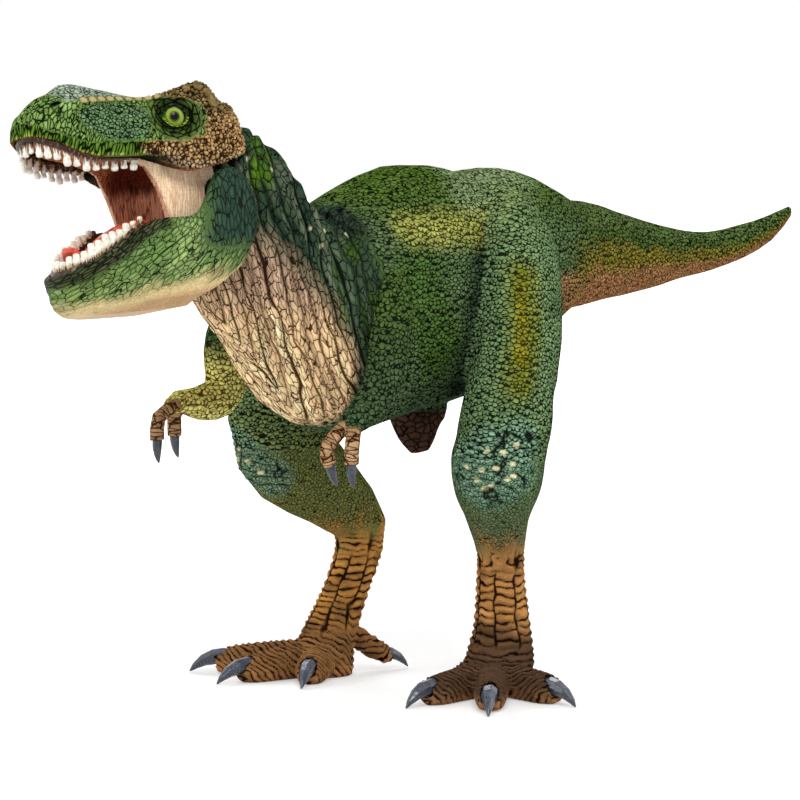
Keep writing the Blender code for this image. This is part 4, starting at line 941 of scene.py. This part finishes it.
hide.height += 1.2 * around_spots(S, [(37.5, 1, 19.5), (38.8, 4, 18.2)], 1.2, 4.0)
hide.coat(around_spots(S, [(34.9, 4.9, 20.0), (36.4, 4.6, 19.2)], 0.25, 0.45), "#0e120a", "#060805")
hide.bumps(S, [(35.2, 4.9, 19.9), (36.0, 4.7, 19.4)], 0.7, -0.35, dark=1.0)
hide.bumps(S, [(12.5, 11.5, 21.5), (9.6, 12.0, 22.4), (6.6, 12.6, 23.0), (3.6, 12.9, 23.2), (1.6, 13.6, 21.6),
               (1.2, 14.2, 19.2)], 1.5, 0.35, dark=0.3)
hide.finish(body_paint)
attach(head, "figure")
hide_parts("head")


# Eyes: two glossy balls pressed into their sockets, painted with a yellow-green iris and a black
# pupil under clear varnish, each behind a fleshy rim moulded as a ring.
EYE_AIM = (0.50, -0.86, 0.02)
LID_AIM = (0.24, -0.93, 0.22)
IRIS_EDGE, PUPIL_EDGE = 1.00, 0.34
CORNEA_SWELL = 0.22
# the rim of the lids: its radius, half its thickness and how far it stands before the eye's middle
LID_RADIUS, LID_THICKNESS, LID_STAND = 2.75, 0.5, 1.25

# Painted plastic under clear varnish, wiped smooth.
eye_varnish, tree, output = new_material("varnished_eye")
ring = stored(tree, "ring")
place = add_node(tree, "TexCoord").outputs["Object"]
fleck = add_node(tree, "TexNoise", {"Vector": place, "Scale": 1 / (0.45 * MM), "Detail": 4.0}).outputs["Fac"]
edge = maths(tree, "MULTIPLY_ADD", fleck, 0.16, ring)
ramp = add_node(tree, "ValToRGB", {"Fac": edge})
bands = ramp.color_ramp
bands.elements[0].position, bands.elements[0].color = 0.0, linear("#060705")
bands.elements[1].position, bands.elements[1].color = 1.0, linear("#141a0c")
for position, code in ((PUPIL_EDGE, "#060705"), (PUPIL_EDGE + 0.06, "#3b4810"), (0.58, "#8fa535"),
                       (0.84, "#83a02c"), (IRIS_EDGE + 0.04, "#46591a"), (IRIS_EDGE + 0.14, "#0e120a")):
    bands.elements.new(position).color = linear(code)
principled(tree, output, {"Base Color": ramp.outputs["Color"], "Roughness": 0.10, "IOR": 1.5,
                          "Specular IOR Level": 0.12, "Coat Weight": 0.08, "Coat Roughness": 0.03})

# The same soft vinyl as the head, brushed lighter along the edge of the lids, partly as a painted highlight.
lid_paint = painted_vinyl("painted_vinyl_lids", roughness=0.30, grain=0.3, brush_and_highlight=0.5)
for side, sign in (("left", 1), ("right", -1)):
    centre = from_head((EYE_PLACE[0], sign * EYE_PLACE[1], EYE_PLACE[2]))
    gaze = HEAD_AXES @ np.array((EYE_AIM[0], sign * EYE_AIM[1], EYE_AIM[2]))
    gaze /= np.linalg.norm(gaze)
    spin = Vector(gaze).to_track_quat("Z", "Y").to_euler()
    bpy.ops.mesh.primitive_uv_sphere_add(segments=64, ring_count=48, radius=EYE_RADIUS * MM,
                                         location=Vector(centre * MM) + UNDER_HIPS, rotation=spin)
    ball = bpy.context.object
    ball.name = side + "_eyeball"
    bpy.ops.object.transform_apply()
    points, normals = points_of(ball)
    facing = (points - centre) @ gaze / EYE_RADIUS
    push_out(ball, CORNEA_SWELL * ease(facing, 0.72, 0.95))
    layer = ball.data.attributes.new("ring", "FLOAT", "POINT")
    layer.data.foreach_set("value", np.arccos(np.clip(facing, -1, 1)).astype(np.float32))
    bpy.ops.object.shade_smooth()
    ball.data.materials.append(eye_varnish)
    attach(ball, "figure")
    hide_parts(side + "_eye")

    front = HEAD_AXES @ np.array((LID_AIM[0], sign * LID_AIM[1], LID_AIM[2]))
    front /= np.linalg.norm(front)
    tilt = Vector(front).to_track_quat("Z", "Y").to_euler()
    bpy.ops.mesh.primitive_torus_add(major_segments=96, minor_segments=20, major_radius=LID_RADIUS * MM,
                                     minor_radius=LID_THICKNESS * MM, rotation=tilt,
                                     location=Vector((centre + front * LID_STAND) * MM) + UNDER_HIPS)
    lid = bpy.context.object
    lid.name = side + "_eye_rim"
    bpy.ops.object.transform_apply()
    hide = Hide(lid, "#33441b", "#080c05")
    level = HEAD_AXES @ np.array((0, 0, 1.0))
    up = (hide.points - centre) @ level
    across = (hide.points - centre) @ np.cross(front, level)
    hide.coat(fall(up, -0.6, 0.6) * 0.85, "#8fae34", "#2a3a10")
    hide.coat(ease(up, 0.8, 2.0) * 0.8, "#1c260f", "#080c05")
    # the lids meet in a corner before and behind the eye
    shut = ease(np.abs(across), 1.2, 3.3)
    moved = hide.points - level * (up * (0.10 + 0.34 * shut))[:, None]
    lid.data.vertices.foreach_set("co", (moved * MM + np.array(UNDER_HIPS)).astype(np.float32).ravel())
    hide.pebbles(np.ones(len(up)), 0.7, (2.0, 2.0, 0.8), gap=0.14, places=(hide.points - centre) @ HEAD_AXES)
    hide.finish(lid_paint)
    bpy.ops.object.shade_smooth()
    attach(lid, "figure")


# Mouth lining: a soft moulded cup set into the skull, with the ribbed palate, the stretched cheek
# skins on both sides and the dark throat. It is painted flesh colour and darkened inwards, with the
# lower throat and the cheek skins painted pale as painted light where the head shades them.
LINING_PITCH = 0.27

lining = fine_copy("mouth_lining_skin", ["mouth_lining"], LINING_PITCH, smoothing=4)
hide = Hide(lining, "#b06c44", "#4f2214")
P = hide.points
Q, M = in_head(P), hide.normals @ HEAD_AXES
forward, side, height = Q.T
outward = ease(M[:, 1] * np.sign(side), 0.05, 0.4) * fall(forward, 19, 22)
deep = fall(forward, 13.5, 16.5) * (1 - outward)
streaks = cloud(Q / (1.2, 1.2, 8), 92)
# the lower throat and the cheek skins are painted far paler than the flesh: painted light where the head
# shades them
hide.coats(
    (patches(P / 3, 91, 0.0, 0.5) * 0.5, "#c07a4a", "#5a2815"),
    (deep * fall(height, 1, 5), "#f0b08c", "#8a4a34"),
    (deep * ease(streaks, 0.1, 0.6) * 0.4, "#cf9a7a", "#6a3422"),
    (deep * ease(height + 1.5 * streaks, 0.2, 3.6) * fall(height, 8, 11) * 0.95, "#64271c", "#300d09"),
    (outward, "#ffe0ba", "#ecc29c"),
    (outward * ease(streaks, 0.1, 0.6) * 0.4, "#e2b08a", "#b07a58"))
hide.pebbles(np.ones(len(P)) * (forward < 19), 0.62, (1, 1, 14), gap=0.13, places=Q, strength=0.65)
hide.bands(ease(forward, 16, 20), forward / 1.5 + 0.5 * cloud(P / 2, 94), side * 0 + 0.5, 0.14, depth=0.4)
# Soft flesh-coloured vinyl, sprayed darker inwards with a satin paint; its lighter brush is partly a painted
# highlight.
flesh_paint = painted_vinyl("satin_flesh_vinyl", roughness=0.34, grain=0.5, brush_and_highlight=0.22)
hide.finish(flesh_paint)
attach(lining, "figure")
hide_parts("mouth_lining")


# Teeth: two moulded strips, each a gum bar with twenty-four teeth. They are painted ivory, stained
# ochre at the roots, with brown wash between the teeth.
TEETH_PITCH = 0.17
# the width in mm of the upright columns in which a tooth is looked for over the gum bar
TOOTH_COLUMN = 0.22
# forward and height along the rims that the teeth stand out of, in the head's axes
JAW_EDGE = ((15, -4.6), (18.4, -5.2), (24, -9.4), (29.4, -12.6), (33, -14.4), (35.4, -15.2), (38, -15.9))

# Ivory vinyl, stained by hand and glazed; the lighter brush towards the tips is partly a painted highlight.
tooth_enamel = painted_vinyl("glazed_ivory_teeth", roughness=0.20, grain=0.6, brush_and_highlight=0.10, bump=0.08,
                             shine=0.2)
for name, body, edge, sign in (("upper_teeth", "figure", LIP_EDGE, -1), ("lower_teeth", "jaw", JAW_EDGE, 1)):
    teeth = fine_copy(name + "_strip", [name], TEETH_PITCH, smoothing=5)
    hide = Hide(teeth, "#f2efe0", "#8b6a3e")
    P = hide.points
    Q = in_head(P)
    bare = sign * (Q[:, 2] - np.interp(Q[:, 0], *zip(*edge)))
    gum = -1.1 if sign < 0 else 0.4
    hide.coat(fall(bare + 0.5 * cloud(P / 0.8, 101), gum + 0.1, gum + 1.3) * 0.75, "#b9924c", "#5a3a1c")
    # the bar stays dark wherever no tooth stands over it
    spot = np.round(Q[:, :2] / TOOTH_COLUMN).astype(np.int64) @ (1, 4096)
    rooted = np.isin(spot, spot[bare > 1.0])
    hide.coats(
        (~rooted * 0.9, "#7a4527", "#3a1c10"),
        (~rooted * fall(bare, gum + 0.5, gum + 1.3) * 0.9, "#261811", "#140c08"),
        (fall(bare + 0.5 * cloud(P / 0.9, 103), gum - 0.9, gum - 0.1), "#4a2c1c", "#24140c"))
    hide.height += 0.26 * ease(bare, 0.6, 1.4)
    hide.coat(patches(P / (0.5, 0.5, 3), 102, 0.2, 0.6) * 0.3, "#cfc29a", "#6a4c28")
    hide.raised = ease(bare, 1.0, 3.0) * 0.6
    hide.finish(tooth_enamel)
    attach(teeth, body)
    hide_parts(name)


# Hinge pin: a turned steel pin through both ears of the jaw and the block behind the throat. Its
# drawn and polished surface shows fine lines round it.

# Bright drawn steel, polished along its turning lines.
pin_steel, tree, output = new_material("polished_steel_pin")
place = add_node(tree, "TexCoord").outputs["Object"]
lines = add_node(tree, "TexNoise", {"Vector": place, "Scale": 1 / (0.2 * MM), "Detail": 2.0}).outputs["Fac"]
gloss = remap(tree, lines, end=(0.22, 0.38))
grooved = add_node(tree, "Bump", {"Height": lines, "Strength": 0.1, "Distance": 0.02 * MM})
principled(tree, output, {"Base Color": linear("#b9bbbd"), "Metallic": 1.0, "Roughness": gloss,
                          "Normal": grooved.outputs[0]})
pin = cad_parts["jaw_pin"]
pin.data.materials.clear()
pin.data.materials.append(pin_steel)


# Lower jaw: a vinyl trough hinged on the pin by its two round ears. The outside is cut with fine
# crossing cracks, green above, dark along the lip and on the ears, and bare sand colour below.
JAW_PITCH = 0.26
CRACK_PITCH = 2.2
# forward and height along the middle of the jaw's side, and along the edge of its bare underside
JAW_LINE = ((0, 0, 8), (0.5, 0, 1), (3, 0, -6), (9, 0, -11.5), (17, 0, -14.5), (26, 0, -17.5), (37, 0, -20.5))
BARE_EDGE = ((-10, -13), (-2, -16.2), (6.4, -18.4), (17.5, -19.4), (26, -21.4), (32.8, -22.9), (40, -23.4))

jaw = fine_copy("lower_jaw_skin", ["lower_jaw"], JAW_PITCH, smoothing=6)
hide = Hide(jaw, "#688549", "#0e170a")
P = hide.points
Q, M = in_head(P), hide.normals @ HEAD_AXES
forward, side, height = Q.T
flat = np.stack([Q[:, 0], np.abs(Q[:, 1]) * 0, Q[:, 2]], 1)
along, turn, girth = follow(flat, JAW_LINE)
streaks = cloud(np.stack([along, side * 0.5, girth * 2.5], 1) / 4, 110)
over_bare = height - np.interp(forward, *zip(*BARE_EDGE))
over = over_bare + 1.8 * streaks
under_rim = np.interp(forward, *zip(*JAW_EDGE)) - height
outside = ease(M[:, 1] * np.sign(side) + ease(forward, 30, 36) * M[:, 0], 0.0, 0.3)
bare = fall(over, -1.5, 1.8)
rim_band = fall(under_rim + 0.4 * cloud(P / 2, 112), 2.2, 3.6) * ease(forward, 13, 17) * (1 - bare)
ear = fall(forward + 1.2 * cloud(P / 4, 113) + 0.2 * (height + 8), 4, 12) * ease(height, -16, -9)
mouth_side = (1 - outside) * ease(forward, 8, 12) * ease(height, -20, -16)

S = np.stack([forward, np.abs(side), height], 1)
hide.coats(
    (patches(P / 4, 114, 0.0, 0.5) * 0.5, "#62863e", "#101c0a"),
    (around_spots(S, [(11.6, 15, -8.5), (12.1, 15, -12.5), (13.8, 14.2, -17)], 0.8, 4.0) * 0.75,
     "#93aa68", "#1c2c12"),
    ((1 - bare) * fall(over, 1.5, 6) * 0.6, "#85985c", "#1f2c14"),
    (ease(forward, 24, 34) * (1 - bare) * ease(streaks, -0.2, 0.4) * 0.5, "#7d9048", "#141c0c"),
    (ear * 0.95, "#223b31", "#070d0a"),
    (ear * patches(Q / (1.2, 1.2, 5), 115, 0.1, 0.6) * 0.45, "#37503c", "#0c1612"),
    (bare, "#e2ca94", "#8a6b44"),
    (bare * fall(over_bare, -3.5, -1.2) * 0.7, "#c4966c", "#6b4530"),
    (rim_band * 0.9, "#30351f", "#0c0c07"),
    (rim_band * ease(streaks, 0.0, 0.5) * 0.5, "#5d5c4a", "#14140c"),
    (mouth_side * 0.95, "#7c3c28", "#331510"))

tilt = np.stack([along + 0.8 * cloud(P / 3, 116), side * 0.5,
                 girth * np.sign(np.sin(turn)) + 0.3 * along], 1)
cracked = outside * (1 - rim_band) * (1 - ear)
hide.pebbles(cracked, 1.0, (1.9, 1.5, 0.85), gap=0.08, loose=0.85, places=tilt)
hide.pebbled *= 1 - 0.65 * bare
hide.folds(cracked * (1 - bare), tilt[:, 2] / CRACK_PITCH + 0.6 * cloud(P / 4, 118), 0.2, 0.10, 119,
           tone=0.1)
hide.pebbles(ear, 0.85, (1.2, 1, 3.2), gap=0.11, loose=0.9, places=Q + 0.4 * streaks[:, None], strength=0.9)
hide.pebbles(rim_band, 0.55, (4, 4, 1), gap=0.16, places=tilt)
# The same vinyl and paint as the body, brushed lighter more strongly, partly as a painted highlight, and a
# little glossier.
jaw_paint = painted_vinyl("painted_vinyl_jaw", roughness=0.38, grain=0.3, brush_and_highlight=0.38)
hide.finish(jaw_paint)
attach(jaw, "jaw")
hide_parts("lower_jaw")


# Tongue: a soft strip glued along the trough of the jaw, with a groove down its middle. It is painted
# orange-red and varnished, so it looks wet.
TONGUE_PITCH = 0.22
GROOVE_DEPTH = 0.35

tongue = fine_copy("tongue_skin", ["tongue"], TONGUE_PITCH, smoothing=5)
hide = Hide(tongue, "#dc4a34", "#8a1a12")
P, upward = hide.points, hide.normals[:, 2]
Q = in_head(P)
middle = float((Q[:, 1].min() + Q[:, 1].max()) / 2)
hide.coat(patches(P / 2.5, 131, 0.0, 0.5) * 0.6, "#ea6a50", "#9a2418")
hide.coat(fall(Q[:, 0], 8, 14) * 0.7, "#a02a1c", "#4a0e0a")
groove = fall(np.abs(Q[:, 1] - middle), 0.2, 1.1)
hide.height -= GROOVE_DEPTH * groove * ease(upward, 0.2, 0.7)
hide.groove = groove * 0.7 * ease(upward, 0.2, 0.7)
hide.scales(np.ones(len(P)), 0.55, (1.3, 1, 1), 132, 0.09, 0.25, tone=0.1, depth=0.35)
# Red vinyl under a thick wet varnish; the lighter brush on its small scales is partly a painted highlight.
wet_red = painted_vinyl("varnished_red_tongue", roughness=0.16, grain=0.5, brush_and_highlight=0.35, bump=0.18,
                        shine=0.4)
hide.finish(wet_red)
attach(tongue, "jaw")
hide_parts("tongue")
